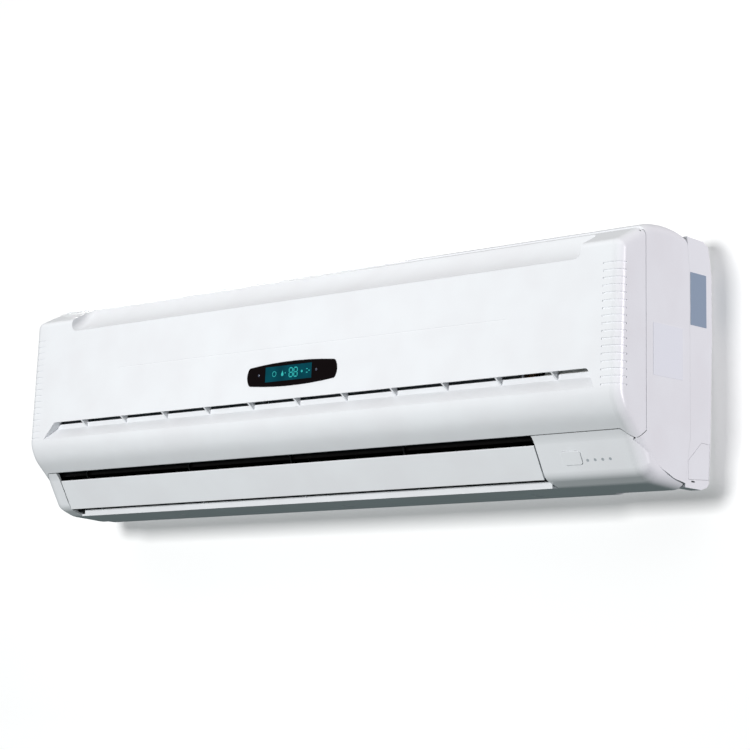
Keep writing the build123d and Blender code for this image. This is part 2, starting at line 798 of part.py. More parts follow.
def chassis_form(inset, front_y):
    """The chassis's end-view form between its ends, inset all round."""
    with BuildPart() as form:
        with BuildSketch(end_plane(-chassis_half + inset)) as outline:
            with BuildLine():
                Polyline(
                    (front_y, 291.4),
                    (-16.7, 289.0),
                    (-6.9, 283.6),
                    (0.0, 251.0),
                    (0.0, 171.0),
                    (-4.5, 58.2),
                    (-8.6, 9.0),
                    (-14.0, 5.0),
                    (-24.0, 2.0),
                    (front_y, 3.0),
                    close=True,
                )
            make_face()
            if inset:
                offset(amount=-inset, kind=Kind.INTERSECTION)
        extrude(amount=2 * (chassis_half - inset))
    return form.part


def vane_point(s, t):
    """End-view point at s along a vane's axis from its base and t along the air's flow."""
    return (
        vane_base[0] + vane_axis[0] * s + vane_flow[0] * t,
        vane_base[1] + vane_axis[1] * s + vane_flow[1] * t,
    )


with BuildPart() as chassis_hollow:
    add(chassis_form(wall, -80.0))
    block(
        (-plate_pocket_x - wall, plate_pocket_x + wall),
        (-plate_pocket_depth - wall, 10.0),
        (plate_pocket_h[0] - wall, plate_pocket_h[1] + wall),
        mode=Mode.SUBTRACT,
    )

with BuildPart() as screw_bosses:
    for x in screw_xs:
        with Locations((x, screw_y, base + screw_boss_h)):
            Cylinder(4.5, 40.0, align=(Align.CENTER, Align.CENTER, Align.MIN))
            Cylinder(screw_radius + pin_gap, 2 * screw_length, mode=Mode.SUBTRACT)

with BuildPart() as cradles:
    for x in cradle_xs:
        end_block(
            [(-2.4, 168.0), (-4.0, 110.0), (-5.4, 74.5), (fan_centre[0], 74.5), (fan_centre[0], 170.0)],
            x - cradle_thickness / 2,
            x + cradle_thickness / 2,
        )
    rod(fan_centre, cradle_xs[0] - 10.0, cradle_xs[-1] + 10.0, motor_radius, mode=Mode.SUBTRACT)

with BuildPart() as rear_chassis:
    add(chassis_form(0, -70.0))
    add(chassis_hollow.part, mode=Mode.SUBTRACT)
    block((-plate_pocket_x, plate_pocket_x), (-plate_pocket_depth, 10.0), plate_pocket_h, mode=Mode.SUBTRACT)
    end_block(
        [
            (chassis_seam[0][0] + seam / 2, chassis_seam[0][1]),
            (chassis_seam[1][0] + seam / 2, chassis_seam[1][1]),
            (chassis_seam[2][0] + seam / 2, chassis_seam[2][1]),
            (chassis_seam[3][0] + seam / 2, chassis_seam[3][1]),
            (lower_back_y + seam, 0.0),
            (20.0, 0.0),
            (20.0, chassis_seam[0][1]),
        ],
        -half,
        half,
        mode=Mode.INTERSECT,
    )
    # the rear guide, a curved sheet that turns the air towards the outlet
    guide_low = vane_point(-guide_thickness / 2, 24.0)
    guide_start = vane_point(-guide_thickness / 2, -20.0)
    with BuildSketch(end_plane(duct_left - mouth_wall)) as guide:
        with BuildLine() as guide_line:
            Spline(
                (-37.0, 130.0),
                (-40.5, 100.0),
                (-51.5, 75.0),
                (-67.5, 53.0),
                guide_start,
                tangents=[(0, -1), vane_flow],
            )
            Line(guide_start, guide_low)
        trace(guide_line.wire(), guide_thickness)
    extrude(guide.sketch, amount=duct_right - duct_left + 2 * mouth_wall)
    for x in (duct_left - mouth_wall, duct_right):
        end_block(
            [
                (-2.2, 165.0),
                (-4.2, 110.0),
                (-6.2, 58.0),
                (-9.8, 12.0),
                (-16.0, 5.6),
                (-56.0, 4.0),
                (-61.0, 6.2),
                (underside_front[0], 8.6),
                (-121.4, 11.0),
                (-121.0, 24.0),
                (-128.0, 60.0),
                (-131.0, 83.0),
                (-122.0, 110.0),
                (-118.0, 165.0),
            ],
            x,
            x + mouth_wall,
        )
    # the ring that holds the left bearing, and the hole for the hub on the right
    ring_x = (bearing_mount_x[0] - 1.0, duct_left + 1.0)
    rod(fan_centre, bearing_mount_x[0], duct_left, bearing_mount_radius + 3.0)
    rod(fan_centre, *ring_x, bearing_mount_radius + pin_gap, mode=Mode.SUBTRACT)
    rod(fan_centre, duct_right - 1.0, duct_right + mouth_wall + 1.0, 12.0, mode=Mode.SUBTRACT)
    # the vanes' pivots
    for x in vane_xs:
        pivot = Plane(
            origin=(x, vane_point(-vane_pin_depth, 0)[0], base + vane_point(-vane_pin_depth, 0)[1]),
            x_dir=(1, 0, 0),
            z_dir=(0, *vane_axis),
        )
        with BuildSketch(pivot) as boss:
            Circle(vane_pin_radius + 2.0)
        extrude(boss.sketch, amount=vane_pin_depth)
        with BuildSketch(pivot.offset(-1.0)) as bore:
            Circle(vane_pin_radius + pin_gap)
        extrude(bore.sketch, amount=vane_pin_depth + 2.0, mode=Mode.SUBTRACT)
    # screw bosses under the guide, which the lower casing is drawn up to
    add(screw_bosses.part)
    # the part of the bosses above the guide is cut away to leave the air path clear
    with BuildSketch(end_plane(duct_left)) as air:
        with BuildLine():
            edge = Spline(
                (-37.0 - guide_thickness / 2, 130.0),
                (-41.6, 100.5),
                (-52.6, 75.7),
                (-68.4, 53.9),
                vane_point(0, -20.0),
                tangents=[(0, -1), vane_flow],
            )
            Polyline(edge @ 1, vane_point(0, 22.0), vane_point(30.0, 22.0), (-90.0, 130.0), edge @ 0)
        make_face()
    extrude(air.sketch, amount=duct_right - duct_left, mode=Mode.SUBTRACT)
    add(cradles.part)
    # slots for the hooks of the wall plate
    for x in hook_xs:
        block(
            (x - hook_width / 2 - 1.0, x + hook_width / 2 + 1.0),
            (-20.0, 0.0),
            (hook_h - hook_rise - 1.0, hook_h + plate_gauge),
            mode=Mode.SUBTRACT,
        )
    # the notch in the floor that the water and drain connections look down through
    block(pipe_notch_x, pipe_notch_y, (-5.0, 12.0), mode=Mode.SUBTRACT)
    # openings of the knock-out covers, and the small slots in the foot below them
    for side in (-1, 1):
        across = sorted((side * (chassis_half - wall - 1.0), side * (chassis_half + 1.0)))
        end_block(knock_out, *across, mode=Mode.SUBTRACT)
        block(across, foot_slot_y, foot_slot_h, mode=Mode.SUBTRACT)
rear_chassis.part.label = "rear_chassis"
export_step(rear_chassis.part, "parts/rear_chassis.step")

# Knock-out covers at the bottom rear corners, with two tabs behind the wall
for name, side in (("pipe_cover_left", -1), ("pipe_cover_right", 1)):
    outer_x = side * chassis_half
    inner_x = side * (chassis_half - wall)
    with BuildPart() as pipe_cover:
        with BuildSketch(end_plane(min(outer_x, inner_x))) as cover:
            with BuildLine():
                Polyline(*knock_out, close=True)
            make_face()
            offset(amount=-fit_gap, kind=Kind.INTERSECTION)
        extrude(cover.sketch, amount=wall)
        x_from, x_to = sorted((inner_x, inner_x - side * 1.5))
        block((x_from, x_to), (-36.0, -20.0), (42.0, 60.0))
        block((x_from, x_to), (-53.0, -44.0), (18.0, 28.0))
    pipe_cover.part.label = name
    export_step(pipe_cover.part, f"parts/{name}.step")

# Label plates: two thin blank plates on the right side
label_thickness = 0.3
front_label = ((-120.0, -61.4), (123.0, 182.0))
rear_label = ((-44.4, -11.7), (189.0, 250.0))
with BuildPart() as label_plates:
    block((upper_half, upper_half + label_thickness), *front_label)
    block((chassis_half, chassis_half + label_thickness), *rear_label)
label_plates.part.label = "label_plates"
export_step(label_plates.part, "parts/label_plates.step")

# Wall plate: pressed steel, screwed to the wall, with three hooks that carry the unit
plate_half_x = 425.0
plate_h = (64.0, 258.0)
hole_spacing_x = 700.0
hole_spacing_z = 120.0
hole_radius = 2.75
plate_window = 90.0
with BuildPart() as wall_plate:
    block((-plate_half_x, plate_half_x), (-plate_gauge, 0.0), plate_h)
    with Locations((0, -plate_gauge / 2, 0)):
        with GridLocations(hole_spacing_x, 1.0, 2, 1):
            with Locations((0, 0, hole_spacing_z / 2), (0, 0, -hole_spacing_z / 2)):
                Cylinder(hole_radius, 4 * plate_gauge, rotation=(90, 0, 0), mode=Mode.SUBTRACT)
    for x in (-225.0, -75.0, 75.0, 225.0):
        window_x_range = (x - plate_window / 2, x + plate_window / 2)
        block(window_x_range, (-plate_gauge, 0.0), (92.0, 158.0), mode=Mode.SUBTRACT)
    for x in (-75.0, 75.0):
        block((x - 30.0, x + 30.0), (-plate_gauge, 0.0), (190.0, 232.0), mode=Mode.SUBTRACT)
    hook_reach = -plate_pocket_depth - wall - 0.5
    for x in hook_xs:
        hook_x = (x - hook_width / 2, x + hook_width / 2)
        block(hook_x, (hook_reach - plate_gauge, -0.5), (hook_h, hook_h + plate_gauge))
        block(hook_x, (hook_reach - plate_gauge, hook_reach), (hook_h, hook_h + hook_rise))
    for x in (-260.0, 260.0):
        block((x - 15.0, x + 15.0), (-plate_pocket_depth, -0.5), (plate_h[0], plate_h[0] + plate_gauge))
wall_plate.part.label = "wall_plate"
export_step(wall_plate.part, "parts/wall_plate.step")

# Flap: a thin blade whose face lies flush with the lower casing, on two pins near its lower edge
flap_left = mouth_left + flap_side_gap
flap_right = mouth_right - flap_side_gap
flap_motor_pin = 5.5
with BuildPart() as flap:
    end_block(
        [
            front_point(flap_top_h),
            front_point(flap_low_h),
            front_point(flap_low_h, flap_thickness),
            front_point(flap_top_h, flap_thickness),
        ],
        flap_left,
        flap_right,
    )
    fillet(flap.edges().filter_by(Axis.X), 0.9)
    for x in (flap_left, (flap_left + flap_right) / 2, flap_right - 2.0):
        rib_h = flap_pivot[1] + 14.0
        end_block(
            [
                front_point(rib_h, flap_thickness - 0.3),
                front_point(flap_low_h + 1.5, flap_thickness - 0.3),
                (flap_pivot[0] + 1.5, flap_pivot[1] - 3.0),
                (flap_pivot[0] + 3.4, flap_pivot[1] + 1.0),
            ],
            x,
            x + 2.0,
        )
    rod(flap_pivot, mouth_left - mouth_wall + 0.5, flap_left + 1.0, flap_pin_radius)
    rod(flap_pivot, flap_right - 1.0, mouth_right + mouth_wall + flap_motor_pin, flap_pin_radius)
flap.part.label = "flap"
export_step(flap.part, "parts/flap.step")

# Flap bushes: two plastic bushes in the mouth's end walls
with BuildPart() as flap_bushes:
    for x in (mouth_left - mouth_wall, mouth_right):
        rod(flap_pivot, x, x + mouth_wall, bush_radius)
    rod(flap_pivot, mouth_left - 6.0, mouth_right + 6.0, flap_pin_radius + pin_gap, mode=Mode.SUBTRACT)
flap_bushes.part.label = "flap_bushes"
export_step(flap_bushes.part, "parts/flap_bushes.step")

# Flap motor: a small stepper behind the mouth's right end, with its output off the middle
flap_motor_offset = (6.6, 6.0)
flap_motor_radius = 10.5
flap_motor_x = mouth_right + mouth_wall + fit_gap
flap_motor_length = 17.0
flap_motor_centre = (flap_pivot[0] + flap_motor_offset[0], flap_pivot[1] + flap_motor_offset[1])
with BuildPart() as flap_motor:
    rod(flap_motor_centre, flap_motor_x, flap_motor_x + flap_motor_length, flap_motor_radius)
    block(
        (flap_motor_x + 2.0, flap_motor_x + flap_motor_length - 2.0),
        (flap_motor_centre[0], flap_motor_centre[0] + flap_motor_radius + 4.0),
        (flap_motor_centre[1] - 5.0, flap_motor_centre[1] + 5.0),
    )
    socket_x = (flap_motor_x - 1.0, flap_motor_x + flap_motor_pin + 1.5)
    rod(flap_pivot, *socket_x, flap_pin_radius + pin_gap, mode=Mode.SUBTRACT)
flap_motor.part.label = "flap_motor"
export_step(flap_motor.part, "parts/flap_motor.step")

# Vanes: ten blades on pins in the rear guide, joined in two groups by link bars
vane_low = 4.0
vane_high = 58.0
vane_back = -14.0
vane_front = 8.0
vane_thickness = 1.5
link_s = 11.0
link_t = -10.5
link_pin_radius = 1.5
link_width = 6.0
link_thickness = 2.0
link_gap = 0.4


def vane_plane(x, s, t):
    """A plane square to the vanes' axes, at s along an axis and t along the flow."""
    y, h = vane_point(s, t)
    return Plane(origin=(x, y, base + h), x_dir=(1, 0, 0), z_dir=(0, *vane_axis))


for index, x in enumerate(vane_xs):
    with BuildPart() as vane:
        end_block(
            [
                vane_point(vane_low, vane_back),
                vane_point(vane_high, vane_back),
                vane_point(vane_high, vane_front),
                vane_point(vane_low, vane_front),
            ],
            x - vane_thickness / 2,
            x + vane_thickness / 2,
        )
        notch_low = link_s - link_thickness / 2 - link_gap
        notch_high = link_s + link_thickness / 2 + link_gap
        notch_front = link_t + link_width / 2 + 4 * link_gap
        end_block(
            [
                vane_point(notch_low, vane_back - 1.0),
                vane_point(notch_high, vane_back - 1.0),
                vane_point(notch_high, notch_front),
                vane_point(notch_low, notch_front),
            ],
            x - 3.0,
            x + 3.0,
            mode=Mode.SUBTRACT,
        )
        with BuildSketch(vane_plane(x, notch_low - 0.8, link_t)) as link_pin:
            Circle(link_pin_radius)
        extrude(link_pin.sketch, amount=notch_high - notch_low + 1.6)
        with BuildSketch(vane_plane(x, -vane_pin_depth, 0)) as pivot_pin:
            Circle(vane_pin_radius)
        extrude(pivot_pin.sketch, amount=vane_pin_depth + vane_low + 1.0)
        with BuildSketch(vane_plane(x, fit_gap, 0)) as collar:
            Circle(vane_pin_radius + 1.5)
        extrude(collar.sketch, amount=vane_low)
    vane.part.label = f"vane_{index + 1}"
    export_step(vane.part, f"parts/vane_{index + 1}.step")

for name, xs in (("vane_link_left", vane_xs[:5]), ("vane_link_right", vane_xs[5:])):
    middle_x = (xs[0] + xs[-1]) / 2
    with BuildPart() as vane_link:
        with BuildSketch(vane_plane(middle_x, link_s - link_thickness / 2, link_t)) as bar:
            RectangleRounded(xs[-1] - xs[0] + 12.0, link_width, link_width / 2 - 0.1)
            with Locations([(x - middle_x, 0) for x in xs]):
                Circle(link_pin_radius + 2 * pin_gap, mode=Mode.SUBTRACT)
        extrude(bar.sketch, amount=link_thickness)
    vane_link.part.label = name
    export_step(vane_link.part, f"parts/{name}.step")

# Fan: a cross-flow rotor with its shaft ends, left bearing, motor and strap
blade_count = 34
blade_length = 10.4
blade_thickness = 1.0
blade_angle = 36.0
disc_count = 9
disc_thickness = 1.6
disc_inner_radius = 33.0
end_disc_thickness = 3.0
hub_radius = 9.0
hub_length = 12.0
with BuildPart() as fan_rotor:
    with BuildSketch(end_plane(fan_left)) as blades:
        with Locations(fan_centre):
            with PolarLocations(fan_radius - 5.5, blade_count):
                Rectangle(blade_length, blade_thickness, rotation=blade_angle)
    extrude(blades.sketch, amount=fan_right - fan_left)
    for k in range(disc_count):
        x = fan_left + (fan_right - fan_left) * (k + 1) / (disc_count + 1)
        with BuildSketch(end_plane(x - disc_thickness / 2)) as ring:
            with Locations(fan_centre):
                Circle(fan_radius)
                Circle(disc_inner_radius, mode=Mode.SUBTRACT)
        extrude(ring.sketch, amount=disc_thickness)
    rod(fan_centre, fan_left, fan_left + end_disc_thickness, fan_radius)
    rod(fan_centre, fan_right - end_disc_thickness, fan_right, fan_radius)
    rod(fan_centre, fan_left, fan_left + hub_length, hub_radius)
    rod(fan_centre, fan_right - hub_length, fan_right, hub_radius)
    for x_from, x_to in ((fan_left, fan_left + hub_length), (fan_right - hub_length, fan_right)):
        rod(fan_centre, x_from - 1.0, x_to + 1.0, shaft_radius + pin_gap, mode=Mode.SUBTRACT)
fan_rotor.part.label = "fan_rotor"
export_step(fan_rotor.part, "parts/fan_rotor.step")

motor_shaft_depth = 18.0
with BuildPart() as fan_shaft:
    rod(fan_centre, bearing_mount_x[0] - 0.5, fan_left + hub_length, shaft_radius)
    rod(fan_centre, fan_right - hub_length, motor_x[0] + motor_shaft_depth - 1.0, shaft_radius)
fan_shaft.part.label = "fan_shaft"
export_step(fan_shaft.part, "parts/fan_shaft.step")

bearing_radius = 11.0
mount_cut_x = (bearing_mount_x[0] - 1.0, bearing_mount_x[1] + 1.0)
with BuildPart() as fan_bearing:
    rod(fan_centre, bearing_mount_x[0] + 1.0, bearing_mount_x[1] - 1.0, bearing_radius)
    rod(fan_centre, *mount_cut_x, shaft_radius + pin_gap, mode=Mode.SUBTRACT)
fan_bearing.part.label = "fan_bearing"
export_step(fan_bearing.part, "parts/fan_bearing.step")

with BuildPart() as bearing_mount:
    rod(fan_centre, *bearing_mount_x, bearing_mount_radius)
    rod(fan_centre, *mount_cut_x, bearing_radius + pin_gap, mode=Mode.SUBTRACT)
bearing_mount.part.label = "bearing_mount"
export_step(bearing_mount.part, "parts/bearing_mount.step")

with BuildPart() as fan_motor:
    rod(fan_centre, motor_x[0] + 3.0, motor_x[1] - 3.0, motor_radius - pin_gap)
    rod(fan_centre, motor_x[0], motor_x[1], motor_radius - 8.0)
    shaft_hole_x = (motor_x[0] - 1.0, motor_x[0] + motor_shaft_depth)
    rod(fan_centre, *shaft_hole_x, shaft_radius + pin_gap, mode=Mode.SUBTRACT)
    circles = fan_motor.faces().filter_by(Axis.X).edges().filter_by(GeomType.CIRCLE)
    fillet(circles.sort_by(SortBy.RADIUS)[-2:], 2.0)
fan_motor.part.label = "fan_motor"
export_step(fan_motor.part, "parts/fan_motor.step")

strap_x = (cradle_xs[0] - cradle_thickness / 2, cradle_xs[1] + cradle_thickness / 2)
with BuildPart() as motor_bracket:
    rod(fan_centre, *strap_x, motor_radius + strap_thickness)
    rod(fan_centre, strap_x[0] - 1.0, strap_x[1] + 1.0, motor_radius, mode=Mode.SUBTRACT)
    block(strap_x, (fan_centre[0], fan_centre[0] + 60.0), (60.0, 180.0), mode=Mode.SUBTRACT)
    block(strap_x, (fan_centre[0] - strap_thickness, fan_centre[0]), (fan_centre[1] + motor_radius, 170.0))
    block(strap_x, (fan_centre[0] - strap_thickness, fan_centre[0]), (74.5, fan_centre[1] - motor_radius))
    block(
        (strap_x[0] + 14.0, strap_x[1] - 14.0),
        (fan_centre[0] - 60.0, fan_centre[0] - 12.0),
        (fan_centre[1] - 24.0, fan_centre[1] + 24.0),
        mode=Mode.SUBTRACT,
    )
motor_bracket.part.label = "motor_bracket"
export_step(motor_bracket.part, "parts/motor_bracket.step")

# Coil: two finned packs with their end plates and return bends
front_pack = {"centre": (-145.0, 156.0), "length": 120.0, "lean": -10.0, "along": 90.0}
rear_pack = {"centre": (-88.0, 211.0), "length": 100.0, "lean": -30.0, "along": 0.0}
packs = (front_pack, rear_pack)
tube_radius = 4.0
tube_pitch = 18.0
tube_count = 6
end_plate_margin = 2.0


def pack_point(pack, distance):
    """End-view point on a pack's middle line at a distance from its centre, upwards or to the back."""
    angle = radians(pack["along"] + pack["lean"])
    return (pack["centre"][0] + distance * cos(angle), pack["centre"][1] + distance * sin(angle))


def pack_section(pack, grow):
    """Adds a pack's rectangle to the sketch in hand."""
    with Locations(pack["centre"]):
        Rectangle(pack["length"] + grow, coil_depth + grow, rotation=pack["along"] + pack["lean"])


with BuildPart() as coil_fins:
    for pack in packs:
        with BuildSketch(end_plane(coil_left)) as fins:
            pack_section(pack, 0)
        extrude(fins.sketch, amount=coil_right - coil_left)
coil_fins.part.label = "coil_fins"
export_step(coil_fins.part, "parts/coil_fins.step")

with BuildPart() as coil_end_plates:
    for x, wall_y in ((coil_left - plate_thickness, -wall), (coil_right, -plate_pocket_depth - wall)):
        with BuildSketch(end_plane(x)) as plate:
            for pack in packs:
                pack_section(pack, 2 * end_plate_margin)
            with BuildLine():
                Polyline((-62.0, 204.0), (-62.0, 180.0), (wall_y, 180.0), (wall_y, 204.0), close=True)
            make_face()
        extrude(plate.sketch, amount=plate_thickness)
coil_end_plates.part.label = "coil_end_plates"
export_step(coil_end_plates.part, "parts/coil_end_plates.step")


def return_bend(start, end, x, side):
    """A half ring of tube that joins two tube ends outside an end plate."""
    middle = ((start[0] + end[0]) / 2, (start[1] + end[1]) / 2)
    reach = hypot(end[0] - start[0], end[1] - start[1]) / 2
    run = ((end[0] - start[0]) / (2 * reach), (end[1] - start[1]) / (2 * reach))
    origin = (x, middle[0], base + middle[1])
    mouth = Plane(origin=origin, x_dir=(0, *run), z_dir=(side, 0, 0))
    with BuildSketch(mouth) as section:
        with Locations((reach, 0)):
            Circle(tube_radius)
    turn = Axis(origin, (0, run[1] * side, -run[0] * side))
    revolve(section.sketch, axis=turn, revolution_arc=180.0)


def pack_tubes(pack):
    """The end-view points of a pack's tubes."""
    return [pack_point(pack, tube_pitch * (k - (tube_count - 1) / 2)) for k in range(tube_count)]


left_face = coil_left - plate_thickness
right_face = coil_right + plate_thickness
front_tubes = pack_tubes(front_pack)
rear_tubes = pack_tubes(rear_pack)
with BuildPart() as coil_bends:
    for tubes in (front_tubes, rear_tubes):
        for k in range(0, tube_count, 2):
            return_bend(tubes[k], tubes[k + 1], left_face, -1)
        for k in range(1, tube_count - 1, 2):
            return_bend(tubes[k], tubes[k + 1], right_face, 1)
    return_bend(front_tubes[-1], rear_tubes[0], right_face, 1)
coil_bends.part.label = "coil_bends"
export_step(coil_bends.part, "parts/coil_bends.step")

# Water pipes: from the coil's free tube ends down to the unions, whose threads face the floor's notch
pipe_radius = 6.35
pipe_bore = 5.4
union_h = (20.0, 42.0)
union_radius = 13.0
union_thread_radius = 9.32
union_thread_length = 14.0
supply_union = (462.0, -27.0)
return_union = (430.0, -34.0)


def pipe_run(points, radii, outer, bore):
    """A tube along straight runs and tangent bends; the points are (x, distance from the wall, height)."""
    with BuildLine() as route:
        FilletPolyline(*[(x, y, base + h) for x, y, h in points], radius=radii)
    start = Plane(origin=route.line @ 0, z_dir=route.line % 0)
    with BuildSketch(start) as section:
        Circle(outer)
        Circle(bore, mode=Mode.SUBTRACT)
    sweep(section.sketch, path=route.wire())


with BuildPart() as supply_pipe:
    pipe_run(
        [
            (right_face, *rear_tubes[-1]),
            (supply_union[0], *rear_tubes[-1]),
            (*supply_union, 130.0),
            (*supply_union, union_h[1]),
        ],
        [18.0, 18.0],
        pipe_radius,
        pipe_bore,
    )
supply_pipe.part.label = "supply_pipe"
export_step(supply_pipe.part, "parts/supply_pipe.step")

return_run_x = 359.0
return_run_h = 67.0
with BuildPart() as return_pipe:
    pipe_run(
        [
            (right_face, *front_tubes[0]),
            (return_run_x, *front_tubes[0]),
            (return_run_x, front_tubes[0][0], return_run_h),
            (return_run_x, return_union[1], return_run_h),
            (*return_union, return_run_h),
            (*return_union, union_h[1]),
        ],
        [11.0, 18.0, 18.0, 18.0],
        pipe_radius,
        pipe_bore,
    )
return_pipe.part.label = "return_pipe"
export_step(return_pipe.part, "parts/return_pipe.step")

with BuildPart() as pipe_unions:
    with BuildSketch(Plane.XY.offset(base + union_h[0])) as nuts:
        with Locations(supply_union, return_union):
            RegularPolygon(union_radius, 6)
            Circle(pipe_bore, mode=Mode.SUBTRACT)
    extrude(nuts.sketch, amount=union_h[1] - union_h[0])
    with BuildSketch(Plane.XY.offset(base + union_h[0])) as threads:
        with Locations(supply_union, return_union):
            Circle(union_thread_radius)
    extrude(threads.sketch, amount=union_thread_length, mode=Mode.SUBTRACT)
pipe_unions.part.label = "pipe_unions"
export_step(pipe_unions.part, "parts/pipe_unions.step")

with BuildPart() as air_vent:
    vent = (-26.0, 192.0)
    rod(vent, right_face, right_face + 12.0, 4.5)
    with BuildSketch(end_plane(right_face + 3.0)) as hexagon:
        with Locations(vent):
            RegularPolygon(6.5, 6)
    extrude(hexagon.sketch, amount=5.0)
    rod(vent, right_face + 12.0, right_face + 15.0, 2.5)
air_vent.part.label = "air_vent"
export_step(air_vent.part, "parts/air_vent.step")

with BuildPart() as air_sensor:
    rod(front_pack["centre"], right_face, right_face + 22.0, 2.5)
    rod(front_pack["centre"], right_face, right_face + 4.0, 3.2)
air_sensor.part.label = "air_sensor"
export_step(air_sensor.part, "parts/air_sensor.step")

# Drain pan: the tray under the front pack, which also closes the air path above the mouth
pan_x = (duct_left + fit_gap, duct_right - 2.0)
pan_wall = 2.2
pan_end = [(-175.5, 92.0), (-175.5, 79.0), (-160.0, 64.0), (-131.0, 87.5), (-131.0, 92.0)]
spigot = (-166.5, 84.5)
drain_radius = 6.5
drain_bore = 5.0
with BuildPart() as drain_pan:
    end_block(
        [
            (-175.5, 92.5),
            (-175.5, 79.0),
            (-160.0, 64.0),
            (-131.0, 87.5),
            (-131.0, 93.0),
            (-133.2, 93.0),
            (-133.2, 89.0),
            (-159.5, 78.5),
            (-173.3, 78.0 + pan_wall),
            (-173.3, 92.5),
        ],
        *pan_x,
    )
    for x in (pan_x[0], pan_x[1] - pan_wall):
        end_block(pan_end, x, x + pan_wall)
    rod(spigot, pan_x[1] - pan_wall - 1.0, pan_x[1] + 1.0, drain_bore - 1.0, mode=Mode.SUBTRACT)
drain_pan.part.label = "drain_pan"
export_step(drain_pan.part, "parts/drain_pan.step")

drain_outlet = (398.0, -38.0)
drain_turn_h = 44.0
drain_end_h = 12.0
with BuildPart() as drain_tube:
    pipe_run(
        [
            (pan_x[1], *spigot),
            (374.5, *spigot),
            (374.5, -146.0, 57.0),
            (380.0, -100.0, 49.0),
            (*drain_outlet, drain_turn_h),
            (*drain_outlet, drain_end_h),
        ],
        [12.0, 20.0, 25.0, 13.0],
        drain_radius,
        drain_bore,
    )
drain_tube.part.label = "drain_tube"
export_step(drain_tube.part, "parts/drain_tube.step")

# Control box: a moulded box beside the coil, with its cover and what it holds
box_x = (384.0, cheek_outer_x - cheek_thickness - fit_gap)
box_y = (-170.0, -132.0)
box_h = (86.0, 235.0)
box_wall = 2.0
cover_thickness = 2.0
with BuildPart() as control_box:
    block(box_x, box_y, box_h)
    block(
        (box_x[0] + box_wall, box_x[1] - box_wall),
        (box_y[0] - 1.0, box_y[1] - box_wall),
        (box_h[0] + box_wall, box_h[1] - box_wall),
        mode=Mode.SUBTRACT,
    )
    with Locations((box_x[0] + 20.0, -152.0, base + box_h[0])):
        Cylinder(6.0, 20.0, mode=Mode.SUBTRACT)
control_box.part.label = "control_box"
export_step(control_box.part, "parts/control_box.step")

with BuildPart() as control_box_cover:
    block(box_x, (box_y[0] - cover_thickness, box_y[0]), box_h)
    block(
        (box_x[0] + box_wall + fit_gap, box_x[1] - box_wall - fit_gap),
        (box_y[0] - 0.1, box_y[0] + 3.0),
        (box_h[0] + box_wall + fit_gap, box_h[1] - box_wall - fit_gap),
    )
    block(
        (box_x[0] + 2 * box_wall + fit_gap, box_x[1] - 2 * box_wall - fit_gap),
        (box_y[0], box_y[0] + 4.0),
        (box_h[0] + 2 * box_wall + fit_gap, box_h[1] - 2 * box_wall - fit_gap),
        mode=Mode.SUBTRACT,
    )
control_box_cover.part.label = "control_box_cover"
export_step(control_box_cover.part, "parts/control_box_cover.step")

box_floor_y = box_y[1] - box_wall
terminal_x = (412.0, 474.0)
terminal_h = (104.0, 122.0)
terminal_depth = 18.0
terminal_count = 6
terminal_pitch = 10.0
with BuildPart() as terminal_block:
    block(terminal_x, (box_floor_y - terminal_depth, box_floor_y), terminal_h)
    for k in range(terminal_count):
        x = terminal_x[0] + 6.0 + terminal_pitch * k
        pocket_y = (box_floor_y - terminal_depth - 2.0, box_floor_y - 12.0)
        block((x - 3.5, x + 3.5), pocket_y, (terminal_h[0] + 3.0, terminal_h[1] - 3.0), mode=Mode.SUBTRACT)
        with Locations((x, box_floor_y - 13.0, base + (terminal_h[0] + terminal_h[1]) / 2)):
            Cylinder(2.4, 3.0, rotation=(90, 0, 0))
terminal_block.part.label = "terminal_block"
export_step(terminal_block.part, "parts/terminal_block.step")

with BuildPart() as transformer:
    block((410.0, 458.0), (box_floor_y - 2.0, box_floor_y), (160.0, 208.0))
    block((415.0, 453.0), (box_floor_y - 28.0, box_floor_y - 1.0), (166.0, 202.0))
    block((422.0, 446.0), (box_floor_y - 31.0, box_floor_y - 1.0), (171.0, 197.0))
    block((413.0, 455.0), (box_floor_y - 22.0, box_floor_y - 8.0), (171.0, 197.0))
transformer.part.label = "transformer"
export_step(transformer.part, "parts/transformer.step")

with BuildPart() as cable_clamp:
    block((390.0, 418.0), (-162.0, -158.5), (box_h[0] + box_wall, box_h[0] + box_wall + 8.0))
    block((390.0, 418.0), (-146.5, -143.0), (box_h[0] + box_wall, box_h[0] + box_wall + 8.0))
    block((390.0, 395.0), (-162.0, -143.0), (box_h[0] + box_wall, box_h[0] + box_wall + 4.0))
    block((413.0, 418.0), (-162.0, -143.0), (box_h[0] + box_wall, box_h[0] + box_wall + 4.0))
cable_clamp.part.label = "cable_clamp"
export_step(cable_clamp.part, "parts/cable_clamp.step")

# Control area: the push button with its switch and board, and the light guides
with BuildPart() as control_board:
    with BuildSketch(control_plane.offset(-board_depth)) as board:
        with Locations(((board_x[0] + board_x[1]) / 2 - button_x, 0)):
            Rectangle(board_x[1] - board_x[0], board_height)
    extrude(board.sketch, amount=-board_thickness)
control_board.part.label = "control_board"
export_step(control_board.part, "parts/control_board.step")

switch_height = 3.5
plunger_height = 0.8
stem_gap = fit_gap
button_stem_depth = board_depth - switch_height - plunger_height - button_travel - stem_gap
with BuildPart() as button_switch:
    with BuildSketch(control_plane.offset(-board_depth)) as body:
        Rectangle(6.0, 6.0)
    extrude(body.sketch, amount=switch_height)
    with BuildSketch(control_plane.offset(-board_depth + switch_height)) as plunger:
        Circle(1.75)
    extrude(plunger.sketch, amount=plunger_height)
button_switch.part.label = "button_switch"
export_step(button_switch.part, "parts/button_switch.step")

